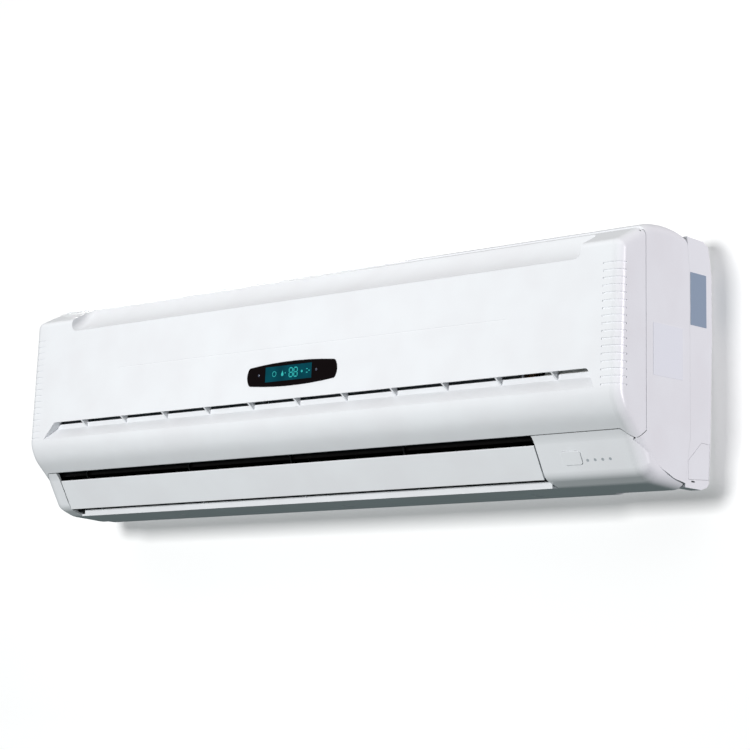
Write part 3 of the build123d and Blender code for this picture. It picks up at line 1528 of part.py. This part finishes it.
with BuildPart() as power_button:
    with BuildSketch(control_plane.offset(-wall - fit_gap)) as cap:
        RectangleRounded(button_width, button_height, button_corner)
    extrude(cap.sketch, amount=wall + fit_gap + button_proud)
    fillet(power_button.edges().group_by(Axis.Y)[0], 0.5)
    with BuildSketch(control_plane.offset(-wall - fit_gap)) as skirt:
        RectangleRounded(button_width + 3.0, button_height + 3.0, button_corner + 1.5)
    extrude(skirt.sketch, amount=-1.2)
    with BuildSketch(control_plane.offset(-button_stem_depth)) as stem:
        Circle(2.5)
    extrude(stem.sketch, amount=button_stem_depth - wall)
power_button.part.label = "power_button"
export_step(power_button.part, "parts/power_button.step")

with BuildPart() as status_lights:
    with BuildSketch(control_plane.offset(-board_depth + fit_gap)) as guides:
        for x in light_xs:
            with Locations((x - button_x, -light_drop)):
                Circle(light_radius)
    extrude(guides.sketch, amount=board_depth - fit_gap - 0.2)
status_lights.part.label = "status_lights"
export_step(status_lights.part, "parts/status_lights.step")

# Fasteners: screws up through the underside into the chassis, and the caps over their heads
with BuildPart() as frame_screws:
    for x in screw_xs:
        head_h = cap_h + cap_depth
        with Locations((x, screw_y, base + head_h)):
            Cylinder(screw_head_radius, screw_seat_h - head_h, align=(Align.CENTER, Align.CENTER, Align.MIN))
            Cylinder(screw_radius, screw_length, align=(Align.CENTER, Align.CENTER, Align.MIN))
frame_screws.part.label = "frame_screws"
export_step(frame_screws.part, "parts/frame_screws.step")

with BuildPart() as screw_caps:
    for x in screw_xs:
        with Locations((x, screw_y, base + cap_h)):
            Cylinder(cap_radius, cap_depth, align=(Align.CENTER, Align.CENTER, Align.MIN))
screw_caps.part.label = "screw_caps"
export_step(screw_caps.part, "parts/screw_caps.step")
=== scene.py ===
import math

import bpy
import numpy as np
from mathutils import Matrix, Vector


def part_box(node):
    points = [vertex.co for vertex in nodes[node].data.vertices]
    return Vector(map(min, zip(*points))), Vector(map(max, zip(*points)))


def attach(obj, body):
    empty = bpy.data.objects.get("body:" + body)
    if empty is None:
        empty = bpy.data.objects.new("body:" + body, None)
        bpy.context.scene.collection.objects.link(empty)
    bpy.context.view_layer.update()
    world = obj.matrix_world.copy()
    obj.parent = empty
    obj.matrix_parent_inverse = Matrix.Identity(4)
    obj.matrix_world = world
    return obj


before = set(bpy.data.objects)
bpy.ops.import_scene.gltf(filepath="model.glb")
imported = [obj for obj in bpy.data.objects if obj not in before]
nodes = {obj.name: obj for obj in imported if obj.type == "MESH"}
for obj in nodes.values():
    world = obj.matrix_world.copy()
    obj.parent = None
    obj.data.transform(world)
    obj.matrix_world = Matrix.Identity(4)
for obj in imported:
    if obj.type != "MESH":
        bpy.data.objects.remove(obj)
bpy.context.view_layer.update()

# The wall plate: 1.5 mm mild steel, pressed and zinc plated, which shows as a dull blue-grey with a faint
# spangle. It is screwed to the wall, and its hooks carry the unit. The coil's end plates and the motor's
# bracket are made the same way.
zinc = "#B9BCBD"
zinc_dark = "#A2A6A8"
spangle_mm = 6.0
zinc_grain_mm = 0.8
zinc_rough = {"To Min": 0.34, "To Max": 0.5}


def linear(colour):
    """An sRGB hex colour as linear values: c / 12.92 below 0.04045, else ((c + 0.055) / 1.055) ** 2.4."""
    parts = [int(colour[k:k + 2], 16) / 255 for k in (1, 3, 5)]
    return [c / 12.92 if c <= 0.04045 else ((c + 0.055) / 1.055) ** 2.4 for c in parts] + [1.0]


def add(material, kind, settings=None, links=None):
    """Adds a node of a kind. Settings are properties or sockets, and links are socket: (node, output)."""
    node = material.node_tree.nodes.new("ShaderNode" + kind)
    for name, value in (settings or {}).items():
        if isinstance(name, str) and hasattr(node, name):
            setattr(node, name, value)
        else:
            node.inputs[name].default_value = value
    for name, (source, output) in (links or {}).items():
        material.node_tree.links.new(source.outputs[output], node.inputs[name])
    return node


def begin(name):
    """A new node material with a Principled shader on its output, and the Object coordinates."""
    material = bpy.data.materials.new(name)
    material.use_nodes = True
    material.node_tree.nodes.clear()
    shader = add(material, "BsdfPrincipled")
    add(material, "OutputMaterial", links={"Surface": (shader, "BSDF")})
    place = add(material, "TexCoord")
    return material, shader, place


def join(material, source, output, shader, name):
    """Links a node's output to one of the shader's sockets."""
    material.node_tree.links.new(source.outputs[output], shader.inputs[name])


def finish_nodes(material, *names):
    """Gives CAD nodes the material in all their slots."""
    for name in names:
        for slot in nodes[name].material_slots:
            slot.material = material


def per_metre(millimetres):
    """The scale of a texture whose cells are this many millimetres across, on coordinates in metres."""
    return 1000.0 / millimetres


plated, shader, place = begin("zinc_plated_steel")
spangle = add(plated, "TexVoronoi", {"Scale": per_metre(spangle_mm)}, {"Vector": (place, "Object")})
tone = add(plated, "ValToRGB", links={"Fac": (spangle, "Color")})
tone.color_ramp.elements[0].color = linear(zinc_dark)
tone.color_ramp.elements[1].color = linear(zinc)
join(plated, tone, "Color", shader, "Base Color")
fine = {"Scale": per_metre(zinc_grain_mm), "Detail": 3.0}
grain = add(plated, "TexNoise", fine, {"Vector": (place, "Object")})
dull = add(plated, "MapRange", zinc_rough, {"Value": (grain, "Fac")})
join(plated, dull, "Result", shader, "Roughness")
shader.inputs["Metallic"].default_value = 1.0
finish_nodes(plated, "wall_plate", "coil_end_plates", "motor_bracket")

# The casing: white ABS, moulded in polished tools and left unpainted. It is satin to glossy and faintly
# cool, with the soft orange peel of a moulding and a little fine dust in the duller places.
abs_white = "#F1F3F6"
abs_warm = "#EEEFF2"
peel_mm = 9.0
peel_depth = 0.0002
dust_mm = 60.0
abs_rough = {"To Min": 0.26, "To Max": 0.34}
abs_ior = 1.52


def moulded_white(name):
    """White ABS: a cool white with wide faint changes of tone, an uneven gloss and a slight orange peel."""
    material, shader, place = begin(name)
    dusty = {"Scale": per_metre(dust_mm), "Detail": 2.0}
    wide = add(material, "TexNoise", dusty, {"Vector": (place, "Object")})
    tone = add(material, "ValToRGB", links={"Fac": (wide, "Fac")})
    tone.color_ramp.elements[0].position = 0.35
    tone.color_ramp.elements[0].color = linear(abs_warm)
    tone.color_ramp.elements[1].position = 0.65
    tone.color_ramp.elements[1].color = linear(abs_white)
    join(material, tone, "Color", shader, "Base Color")
    gloss = add(material, "MapRange", abs_rough, {"Value": (wide, "Fac")})
    join(material, gloss, "Result", shader, "Roughness")
    peeled = {"Scale": per_metre(peel_mm), "Detail": 1.0}
    peel = add(material, "TexNoise", peeled, {"Vector": (place, "Object")})
    rise = add(material, "Bump", {"Strength": 0.05, "Distance": peel_depth}, {"Height": (peel, "Fac")})
    join(material, rise, "Normal", shader, "Normal")
    shader.inputs["IOR"].default_value = abs_ior
    return material, shader, place, tone


casing = moulded_white("moulded_white_abs")[0]
finish_nodes(casing, "front_frame", "front_panel", "flap", "power_button", "screw_caps")
finish_nodes(casing, "pipe_cover_left", "pipe_cover_right")

# The rear chassis and the lower casing are the same white ABS. Their inner walls, which form the air duct,
# are painted black as painted shade, so that nothing pale shows through the outlet. Planes in metres bound
# the painted shade, and on the lower casing one of them lies along the inside of its sloping front wall.
painted_duct_shade = "#0B0909"
duct_back = -0.0345
duct_floor = -0.168
duct_roof = 0.0
duct_left = -0.4635
duct_right = 0.3525
front_normal = (0.0, 0.8774, 0.4797)
front_edge = (-0.155, 0.0498 - 0.175)
front_wall = 0.0029
mouth_left = -0.4658
mouth_right = 0.3598
mouth_floor = -0.1635


def paint_shade(material, shader, place, tone, tests):
    """Painted shade: the tone turns black where every test holds; a test is a plane's normal and offset in
    metres.
    """
    inside = None
    for normal, offset in tests:
        reach = add(material, "VectorMath", {"operation": "DOT_PRODUCT", 1: normal}, {0: (place, "Object")})
        beyond = add(material, "Math", {"operation": "GREATER_THAN", 1: offset}, {0: (reach, "Value")})
        if inside:
            both = {0: (beyond, "Value"), 1: (inside, "Value")}
            beyond = add(material, "Math", {"operation": "MULTIPLY"}, both)
        inside = beyond
    picked = {0: (inside, "Value"), 6: (tone, "Color")}
    mixed = add(material, "Mix", {"data_type": "RGBA", 7: linear(painted_duct_shade)}, picked)
    join(material, mixed, 2, shader, "Base Color")


chassis, shader, place, tone = moulded_white("white_abs_with_painted_duct_shade")
paint_shade(chassis, shader, place, tone, [
    ((0, -1, 0), -duct_back),
    ((0, 0, 1), duct_floor),
    ((0, 0, -1), -duct_roof),
    ((1, 0, 0), duct_left),
    ((-1, 0, 0), -duct_right),
])
finish_nodes(chassis, "rear_chassis")
# The outlet's mouth in the lower casing gets the same painted shade.
mouth, shader, place, tone = moulded_white("white_abs_with_painted_mouth_shade")
front_depth = front_normal[1] * front_edge[0] + front_normal[2] * front_edge[1]
paint_shade(mouth, shader, place, tone, [
    (front_normal, front_depth + front_wall),
    ((1, 0, 0), mouth_left),
    ((-1, 0, 0), -mouth_right),
    ((0, 0, 1), mouth_floor),
])
finish_nodes(mouth, "lower_casing")

# The coil: aluminium fins pressed over copper tubes. The fins stand 1.4 mm apart and are drawn at 2.8 mm,
# because at their own pitch they are too fine to show. Painted highlights and shade draw them as fine
# stripes.
fin_pitch_mm = 2.8
fin_painted_highlight = "#D5D8DA"
fin_painted_shade = "#6F7476"
fin_rise = 0.0006
fin_rough = 0.38
fins, shader, place = begin("pressed_aluminium_fins")
wave_scale = per_metre(fin_pitch_mm) / (2 * math.pi)
banded = {"wave_type": "BANDS", "bands_direction": "X", "Scale": wave_scale}
stripes = add(fins, "TexWave", banded, {"Vector": (place, "Object")})
# Painted shade in the gaps and painted highlight on the edges, over a matching bump.
tone = add(fins, "ValToRGB", links={"Fac": (stripes, "Fac")})
tone.color_ramp.elements[0].color = linear(fin_painted_shade)
tone.color_ramp.elements[1].color = linear(fin_painted_highlight)
join(fins, tone, "Color", shader, "Base Color")
edge = add(fins, "Bump", {"Strength": 0.6, "Distance": fin_rise}, {"Height": (stripes, "Fac")})
join(fins, edge, "Normal", shader, "Normal")
shader.inputs["Metallic"].default_value = 1.0
shader.inputs["Roughness"].default_value = fin_rough
finish_nodes(fins, "coil_fins")

# The water pipes and return bends: drawn copper tube, brazed, with the dull brown patches of handling.
# The nuts and the vent are turned brass, the fan's bearing is oiled sintered bronze, and the fan's shaft and
# the frame's screws are bright steel.


def worn_metal(name, bright, dull, patch_mm, rough_low, rough_high):
    """A metal whose tone and roughness drift together between a bright and a dull colour."""
    material, shader, place = begin(name)
    patchy = {"Scale": per_metre(patch_mm), "Detail": 5.0}
    patch = add(material, "TexNoise", patchy, {"Vector": (place, "Object")})
    tone = add(material, "ValToRGB", links={"Fac": (patch, "Fac")})
    tone.color_ramp.elements[0].position = 0.3
    tone.color_ramp.elements[0].color = linear(dull)
    tone.color_ramp.elements[1].position = 0.7
    tone.color_ramp.elements[1].color = linear(bright)
    join(material, tone, "Color", shader, "Base Color")
    rough = add(material, "MapRange", {"To Min": rough_high, "To Max": rough_low}, {"Value": (patch, "Fac")})
    join(material, rough, "Result", shader, "Roughness")
    shader.inputs["Metallic"].default_value = 1.0
    return material


copper = worn_metal("drawn_copper", "#C98A62", "#8E5A3E", 14.0, 0.24, 0.5)
finish_nodes(copper, "coil_bends", "supply_pipe", "return_pipe", "air_sensor")
brass = worn_metal("turned_brass", "#CDAE66", "#A2834A", 8.0, 0.2, 0.38)
finish_nodes(brass, "pipe_unions", "air_vent")
bronze = worn_metal("sintered_bronze", "#A9834F", "#7A5C38", 3.0, 0.4, 0.6)
finish_nodes(bronze, "fan_bearing")
steel = worn_metal("ground_steel", "#C9CACB", "#9FA1A3", 5.0, 0.22, 0.36)
finish_nodes(steel, "fan_shaft", "frame_screws")

# The inner mouldings: glass-filled fan blades, dark vanes, the pan, the bearing's rubber, the boxes and the
# motors. Each is one plastic, rubber or coated metal with a fine grain and its own gloss.
rough_spread = 0.06


def grained(name, colour, shade, grain_mm, rough, depth_mm=0.05, ior=1.5):
    """A moulded grain: two near tones on a fine noise, which also raises the surface a little."""
    material, shader, place = begin(name)
    fine = {"Scale": per_metre(grain_mm), "Detail": 4.0}
    grain = add(material, "TexNoise", fine, {"Vector": (place, "Object")})
    tone = add(material, "ValToRGB", links={"Fac": (grain, "Fac")})
    tone.color_ramp.elements[0].position = 0.3
    tone.color_ramp.elements[0].color = linear(shade)
    tone.color_ramp.elements[1].position = 0.7
    tone.color_ramp.elements[1].color = linear(colour)
    join(material, tone, "Color", shader, "Base Color")
    glossy = {"To Min": rough - rough_spread, "To Max": rough + rough_spread}
    spread = add(material, "MapRange", glossy, {"Value": (grain, "Fac")})
    join(material, spread, "Result", shader, "Roughness")
    rise = add(material, "Bump", {"Strength": 0.3, "Distance": depth_mm / 1000}, {"Height": (grain, "Fac")})
    join(material, rise, "Normal", shader, "Normal")
    shader.inputs["IOR"].default_value = ior
    return material


vane_nodes = [f"vane_{k}" for k in range(1, 11)]
finish_nodes(grained("dark_vane_plastic", "#1C1A1A", "#131111", 1.2, 0.5), *vane_nodes)
link_plastic = grained("dark_link_plastic", "#201E1E", "#151313", 1.2, 0.5)
finish_nodes(link_plastic, "vane_link_left", "vane_link_right")
finish_nodes(grained("glass_filled_plastic", "#26282A", "#1A1B1D", 0.9, 0.55), "fan_rotor")
finish_nodes(grained("black_pan_foam", "#1B1B1C", "#111112", 3.5, 0.8, 0.4), "drain_pan")
finish_nodes(grained("moulded_rubber", "#171717", "#0E0E0E", 1.5, 0.75), "bearing_mount")
finish_nodes(grained("soft_vinyl", "#B4B6B4", "#A2A4A2", 2.0, 0.45), "drain_tube")
finish_nodes(grained("white_acetal", "#E4E4E0", "#D8D8D3", 1.0, 0.4), "flap_bushes")
box_plastic = grained("flame_retardant_plastic", "#D2D2CD", "#C5C5BF", 1.0, 0.55)
finish_nodes(box_plastic, "control_box", "control_box_cover")
finish_nodes(grained("cream_polyamide", "#DBD5BD", "#CCC5AA", 1.0, 0.5), "terminal_block")
finish_nodes(grained("black_moulding", "#141414", "#0C0C0C", 1.0, 0.5), "cable_clamp", "button_switch")
finish_nodes(grained("painted_motor_steel", "#4C4E50", "#3E4042", 2.2, 0.42), "fan_motor", "flap_motor")
finish_nodes(grained("laminated_iron", "#5A5753", "#3B3936", 0.7, 0.6), "transformer")
finish_nodes(grained("green_solder_mask", "#1D5B33", "#17492A", 2.5, 0.35), "control_board", "display_board")
finish_nodes(grained("filter_frame_plastic", "#42484C", "#353A3E", 1.0, 0.5), "filter_left", "filter_right")
finish_nodes(grained("frosted_acrylic", "#B4BBC0", "#A4ABB0", 1.0, 0.3), "status_lights")

# The display: a smoked gloss bezel, screen-printed black from behind, and set in its middle a blue-green
# liquid crystal window, which glows a little.
smoked = grained("smoked_bezel", "#120B0C", "#0C0708", 0.8, 0.16, 0.01)
finish_nodes(smoked, "display_bezel")
glow_mm = 18.0
lcd_edge = "#03323D"
lcd_middle = "#05424D"
lcd, shader, place = begin("liquid_crystal_window")
wide = {"Scale": per_metre(glow_mm), "Detail": 1.0}
glow = add(lcd, "TexNoise", wide, {"Vector": (place, "Object")})
tone = add(lcd, "ValToRGB", links={"Fac": (glow, "Fac")})
tone.color_ramp.elements[0].position = 0.25
tone.color_ramp.elements[0].color = linear(lcd_edge)
tone.color_ramp.elements[1].position = 0.75
tone.color_ramp.elements[1].color = linear(lcd_middle)
join(lcd, tone, "Color", shader, "Base Color")
join(lcd, tone, "Color", shader, "Emission Color")
shader.inputs["Emission Strength"].default_value = 0.25
shader.inputs["Roughness"].default_value = 0.12
finish_nodes(lcd, "display_window")

# The figures that the window shows: two seven-segment digits, with a ring, a drop and a dot on their left and
# a dot and three short marks on their right. They are lit liquid crystal, drawn as thin closed bars on the
# window, in metres across from the part's middle and up from the window's.
face_tilt = math.radians(2.5292)
glass_thick = 0.0015
figure_rise = (0.00003, 0.00012)
digit_height = 0.0112
digit_width = 0.0058
digit_xs = (0.0030, 0.0110)
segment_width = 0.0013
segment_gap = 0.0004
ring_x = -0.0255
ring_radius = 0.0032
ring_width = 0.0009
ring_bars = 12
drop_x = -0.0115
drop_size = 0.0036
drop_slimness = 0.9
dot_spots = ((-0.0065, 0.0008), (0.0215, 0.0016))
dot_corners = 24
mark_spots = ((0.0285, 0.0022), (0.0285, -0.0022), (0.0325, 0.0))
mark_length = 0.0030
mark_width = 0.0011
flicker_mm = 2.0
lit_low = "#188A8A"
lit_high = "#3DB8B4"
window_low, window_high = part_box("display_window")
window_middle_x = (window_low[0] + window_high[0]) / 2
glass_foot = np.array([window_middle_x, window_low[1], window_low[2] + glass_thick * math.sin(face_tilt)])
window_half = (window_high[2] - window_low[2]) / 2
along_face = np.array([0.0, math.sin(face_tilt), math.cos(face_tilt)])
off_face = np.array([0.0, -math.cos(face_tilt), math.sin(face_tilt)])


def on_glass(u, v, w):
    """Places in the frame for x = u, height v above the window's middle and distance w out of the glass."""
    spot = np.multiply.outer(v + window_half, along_face) + np.multiply.outer(w, off_face)
    spot[..., 0] = u
    spot[..., 1:] += glass_foot[1:]
    return spot


def bars(starts, ends, width):
    """Six-sided outlines of straight bars: a bar's ends are points, and its sides stand half a width off."""
    starts = np.asarray(starts, float)
    ends = np.asarray(ends, float)
    run = (ends - starts) / np.linalg.norm(ends - starts, axis=1)[:, None]
    side = np.stack([-run[:, 1], run[:, 0]], axis=1) * width / 2
    back = starts + run * width / 2
    front = ends - run * width / 2
    return np.stack([starts, back - side, front - side, ends, front + side, back + side], axis=1)


def prisms(name, outlines, low, high):
    """One mesh of closed prisms, each an anticlockwise outline of (u, v) points raised from low to high."""
    points = []
    faces = []
    start = 0
    for group in outlines:
        count, corners = group.shape[:2]
        flat = np.zeros((count, corners))
        foot, top = (on_glass(group[..., 0], group[..., 1], flat + w) for w in (low, high))
        points.append(np.stack([foot, top], axis=1).reshape(-1, 3))
        first = start + np.arange(count)[:, None] * 2 * corners
        ring = np.arange(corners)
        after = (ring + 1) % corners
        walls = np.stack([ring, after, after + corners, ring + corners], axis=1)
        faces += (first[:, :, None] + walls).reshape(-1, 4).tolist()
        faces += (first + ring + corners).tolist()
        faces += (first + ring[::-1]).tolist()
        start += 2 * corners * count
    mesh = bpy.data.meshes.new(name)
    mesh.from_pydata(np.vstack(points).tolist(), [], faces)
    thing = bpy.data.objects.new(name, mesh)
    bpy.context.scene.collection.objects.link(thing)
    return thing


half_w = digit_width / 2
half_h = digit_height / 2
reach = half_w - segment_gap
stand = half_h - segment_gap
level = [((-reach, v), (reach, v)) for v in (-half_h, 0.0, half_h)]
upright = [
    ((u, v), (u, v + stand - segment_gap))
    for u in (-half_w, half_w)
    for v in (-stand, segment_gap)
]
one_digit = np.array(level + upright)
digits = np.concatenate([one_digit + np.array([x, 0.0]) for x in digit_xs])
ring_turns = np.linspace(0.0, 2 * math.pi, ring_bars + 1)
rim = np.stack([ring_x + ring_radius * np.cos(ring_turns), ring_radius * np.sin(ring_turns)], axis=1)
mark_starts = np.array(mark_spots)
angle = np.linspace(0.0, 2 * math.pi, dot_corners + 1)[:-1]
drop = np.stack([
    drop_x - drop_size * drop_slimness * np.sin(angle) * np.sin(angle / 2) ** 2,
    drop_size * np.cos(angle),
], axis=1)
dots = np.stack([
    np.stack([x + radius * np.cos(angle), radius * np.sin(angle)], axis=1)
    for x, radius in dot_spots
])
figures = prisms("display_figures", [
    bars(digits[:, 0], digits[:, 1], segment_width),
    bars(rim[:-1], rim[1:], ring_width),
    bars(mark_starts, mark_starts + np.array([mark_length, 0.0]), mark_width),
    drop[None],
    dots,
], *figure_rise)
lit, shader, place = begin("lit_segments")
fine = {"Scale": per_metre(flicker_mm), "Detail": 1.0}
flicker = add(lit, "TexNoise", fine, {"Vector": (place, "Object")})
tone = add(lit, "ValToRGB", links={"Fac": (flicker, "Fac")})
tone.color_ramp.elements[0].color = linear(lit_low)
tone.color_ramp.elements[1].color = linear(lit_high)
join(lit, tone, "Color", shader, "Base Color")
join(lit, tone, "Color", shader, "Emission Color")
shader.inputs["Emission Strength"].default_value = 0.3
shader.inputs["Roughness"].default_value = 0.3
figures.data.materials.append(lit)
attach(figures, "panel")

# The bezel's two sensor eyes: small clear domes of smoked acrylic, set one each side of the window. They show
# as faint bluish points of light on the black.
eye_xs = (-0.052, 0.046)
eye_radius = 0.0017
eye_height = 0.0005
bezel_stand = 0.0003
rings = 6
spokes = 20


def dome(centre_x, low):
    """A flat-based dome: height falls with the square of the distance from its middle, closed by its base."""
    spread = np.linspace(0.0, 1.0, rings + 1)[1:]
    spoke = np.linspace(0.0, 2 * math.pi, spokes, endpoint=False)
    u = centre_x + eye_radius * spread[:, None] * np.cos(spoke)
    v = eye_radius * spread[:, None] * np.sin(spoke)
    w = np.broadcast_to(low + eye_height * (1 - spread[:, None] ** 2), u.shape)
    return np.vstack([
        on_glass(u, v, w).reshape(-1, 3),
        on_glass(np.array([centre_x]), np.array([0.0]), np.array([low + eye_height])),
    ])


dome_points = np.vstack([dome(x, bezel_stand) for x in eye_xs])
dome_size = rings * spokes + 1
ring_start = np.arange(rings - 1)[:, None] * spokes
around = np.arange(spokes)
ahead = (around + 1) % spokes
next_ring = ring_start + spokes
strips = np.stack([ring_start + around, next_ring + around, next_ring + ahead, ring_start + ahead], axis=2)
eye_faces = []
for first in (0, dome_size):
    eye_faces += (first + strips.reshape(-1, 4)).tolist()
    eye_faces += (first + np.stack([np.full(spokes, dome_size - 1), around, ahead], axis=1)).tolist()
    eye_faces.append((first + (rings - 1) * spokes + around[::-1]).tolist())
eye_mesh = bpy.data.meshes.new("sensor_eyes")
eye_mesh.from_pydata(dome_points.tolist(), [], eye_faces)
eyes = bpy.data.objects.new("sensor_eyes", eye_mesh)
bpy.context.scene.collection.objects.link(eyes)
eyes.data.materials.append(grained("smoked_acrylic", "#5B6070", "#3D4150", 0.6, 0.15, 0.005, 1.49))
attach(eyes, "panel")

# The rating plates' places: two thin matt films stuck on the right side, both left blank. The rear one is
# blue-grey and the front one white.
front_film = "#E9ECF2"
rear_film = "#8FA0B4"
rear_from = -0.053
fibre_mm = 4.0
film_rough = {"To Min": 0.45, "To Max": 0.6}
film, shader, place = begin("blank_matt_film")
along_depth = add(film, "SeparateXYZ", links={"Vector": (place, "Object")})
rear = add(film, "Math", {"operation": "GREATER_THAN", 1: rear_from}, {0: (along_depth, "Y")})
films = {"data_type": "RGBA", 6: linear(front_film), 7: linear(rear_film)}
pick = add(film, "Mix", films, {0: (rear, "Value")})
join(film, pick, 2, shader, "Base Color")
fine = {"Scale": per_metre(fibre_mm), "Detail": 3.0}
fibre = add(film, "TexNoise", fine, {"Vector": (place, "Object")})
rough = add(film, "MapRange", film_rough, {"Value": (fibre, "Fac")})
join(film, rough, "Result", shader, "Roughness")
finish_nodes(film, "label_plates")

# The stage: a pale wall that the unit hangs on, curving into a pale floor. They are seen by the camera alone
# and only from the front, so they keep the unit's shadow but throw no light back on it.
wall_y = 0.0006
wall_top = 6.0
floor_z = -0.95
sweep = 0.5
stage_half = 9.0
steps = 24
wall_white = "#ECECEC"
wall_glow = 0.27


def swept(name, profile, half_width):
    """Carries a profile of (y, z) points along X, from -half_width to half_width."""
    profile = np.asarray(profile, float)
    xs = np.array([-half_width, half_width])
    grid = np.empty((len(profile), 2, 3))
    grid[:, :, 0] = xs
    grid[:, :, 1] = profile[:, 0:1]
    grid[:, :, 2] = profile[:, 1:2]
    rows = np.arange(len(profile) - 1)
    quads = np.stack([2 * rows, 2 * rows + 2, 2 * rows + 3, 2 * rows + 1], axis=1)
    mesh = bpy.data.meshes.new(name)
    mesh.from_pydata(grid.reshape(-1, 3).tolist(), [], quads.tolist())
    mesh.polygons.foreach_set("use_smooth", [True] * len(quads))
    thing = bpy.data.objects.new(name, mesh)
    bpy.context.scene.collection.objects.link(thing)
    return thing


turn = np.linspace(0.0, math.pi / 2, steps)
curve = np.stack([wall_y - sweep + sweep * np.cos(turn), floor_z + sweep - sweep * np.sin(turn)], axis=1)
outline = np.vstack([[wall_y, wall_top], curve, [-stage_half, floor_z]])
backdrop = swept("backdrop", outline, stage_half)
pale, shader, place = begin("pale_backdrop")
shader.inputs["Base Color"].default_value = linear(wall_white)
shader.inputs["Roughness"].default_value = 0.9
shader.inputs["Specular IOR Level"].default_value = 0.0
shader.inputs["Emission Color"].default_value = (1, 1, 1, 1)
shader.inputs["Emission Strength"].default_value = wall_glow
clear = add(pale, "BsdfTransparent")
facing = add(pale, "NewGeometry")
either = add(pale, "MixShader", links={0: (facing, "Backfacing"), 1: (shader, "BSDF"), 2: (clear, "BSDF")})
ending = [n for n in pale.node_tree.nodes if n.type == "OUTPUT_MATERIAL"][0]
pale.node_tree.links.new(either.outputs["Shader"], ending.inputs["Surface"])
backdrop.data.materials.append(pale)
for way in ("visible_diffuse", "visible_glossy", "visible_transmission", "visible_shadow"):
    setattr(backdrop, way, False)

# The studio's surroundings, which give the fill light and what the gloss shows: bright overhead, dark at the
# unit's own level and a dull grey-green below. The camera itself sees plain white past the wall.
sky_strength = 0.55
overhead = "#FFFFFF"
overhead_from = 0.80
underfoot = "#86908F"
underfoot_to = 0.12
sky_bands = ((0.34, "#78888B"), (0.5, "#484E50"), (0.66, "#4A4E50"))
world = bpy.data.worlds.new("studio")
bpy.context.scene.world = world
world.use_nodes = True
world.node_tree.nodes.clear()
heading = add(world, "TexCoord")
parts = add(world, "SeparateXYZ", links={"Vector": (heading, "Generated")})
height = add(world, "MapRange", {"From Min": -1.0, "From Max": 1.0}, {"Value": (parts, "Z")})
shade = add(world, "ValToRGB", links={"Fac": (height, "Result")})
shade.color_ramp.elements[0].position = underfoot_to
shade.color_ramp.elements[0].color = linear(underfoot)
shade.color_ramp.elements[1].position = overhead_from
shade.color_ramp.elements[1].color = linear(overhead)
for band_at, tint in sky_bands:
    shade.color_ramp.elements.new(band_at).color = linear(tint)
soft = add(world, "Background", {"Strength": sky_strength}, {"Color": (shade, "Color")})
white = add(world, "Background", {"Color": (1, 1, 1, 1), "Strength": 1.0})
rays = add(world, "LightPath")
either = {0: (rays, "Is Camera Ray"), 1: (soft, "Background"), 2: (white, "Background")}
seen = add(world, "MixShader", links=either)
add(world, "OutputWorld", links={"Surface": (seen, "Shader")})

# Three soft lamps: the key in front, kept out of reflections because the flat display would mirror it, one
# at the right behind the wall's plane for the right end, and one behind on the left for the left end and
# the rear.


def lamp(name, place, aim, size, watts, colour="#FFFFFF"):
    """A square soft lamp at a place, turned to face the aim."""
    data = bpy.data.lights.new(name, "AREA")
    data.shape = "SQUARE"
    data.size = size
    data.energy = watts
    data.color = linear(colour)[:3]
    thing = bpy.data.objects.new(name, data)
    away = np.subtract(place, aim)
    yaw = math.atan2(away[0], -away[1])
    rise = math.atan2(away[2], math.hypot(away[0], away[1]))
    thing.location = place
    thing.rotation_euler = (math.pi / 2 - rise, 0.0, yaw)
    bpy.context.scene.collection.objects.link(thing)
    return thing


middle = (0.0, -0.09, -0.03)
side_tint = "#FFF9FF"
key = lamp("key", (-0.07, -3.1, 0.31), middle, 0.55, 77.0)
key.visible_glossy = False
lamp("side", (3.4, 0.62, 0.15), middle, 1.0, 66.0, side_tint)
lamp("back", (-2.4, 1.9, 0.9), middle, 0.9, 55.0)

# The camera stands to the right of the unit and below it, as in the photograph: turned 41.5 degrees from the
# wall's normal, looking up 8 degrees, and rolled just under one degree.
yaw, pitch, roll = (math.radians(a) for a in (41.535, 8.037, 0.877))
eye = (1.8463, -2.1105, -0.3943)
lens_mm = 104.57
sensor_mm = 36.0
view = bpy.data.cameras.new("view")
view.lens = lens_mm
view.sensor_width = sensor_mm
camera = bpy.data.objects.new("view", view)
forward = np.array([-math.sin(yaw) * math.cos(pitch), math.cos(yaw) * math.cos(pitch), math.sin(pitch)])
right = np.array([math.cos(yaw), math.sin(yaw), 0.0])
up = np.cross(right, forward)
across = math.cos(roll) * right + math.sin(roll) * up
upward = -math.sin(roll) * right + math.cos(roll) * up
rows = [[across[k], upward[k], -forward[k], eye[k]] for k in range(3)]
camera.matrix_world = Matrix(rows + [[0, 0, 0, 1]])
bpy.context.scene.collection.objects.link(camera)
bpy.context.scene.camera = camera
bpy.context.scene.view_settings.view_transform = "Standard"
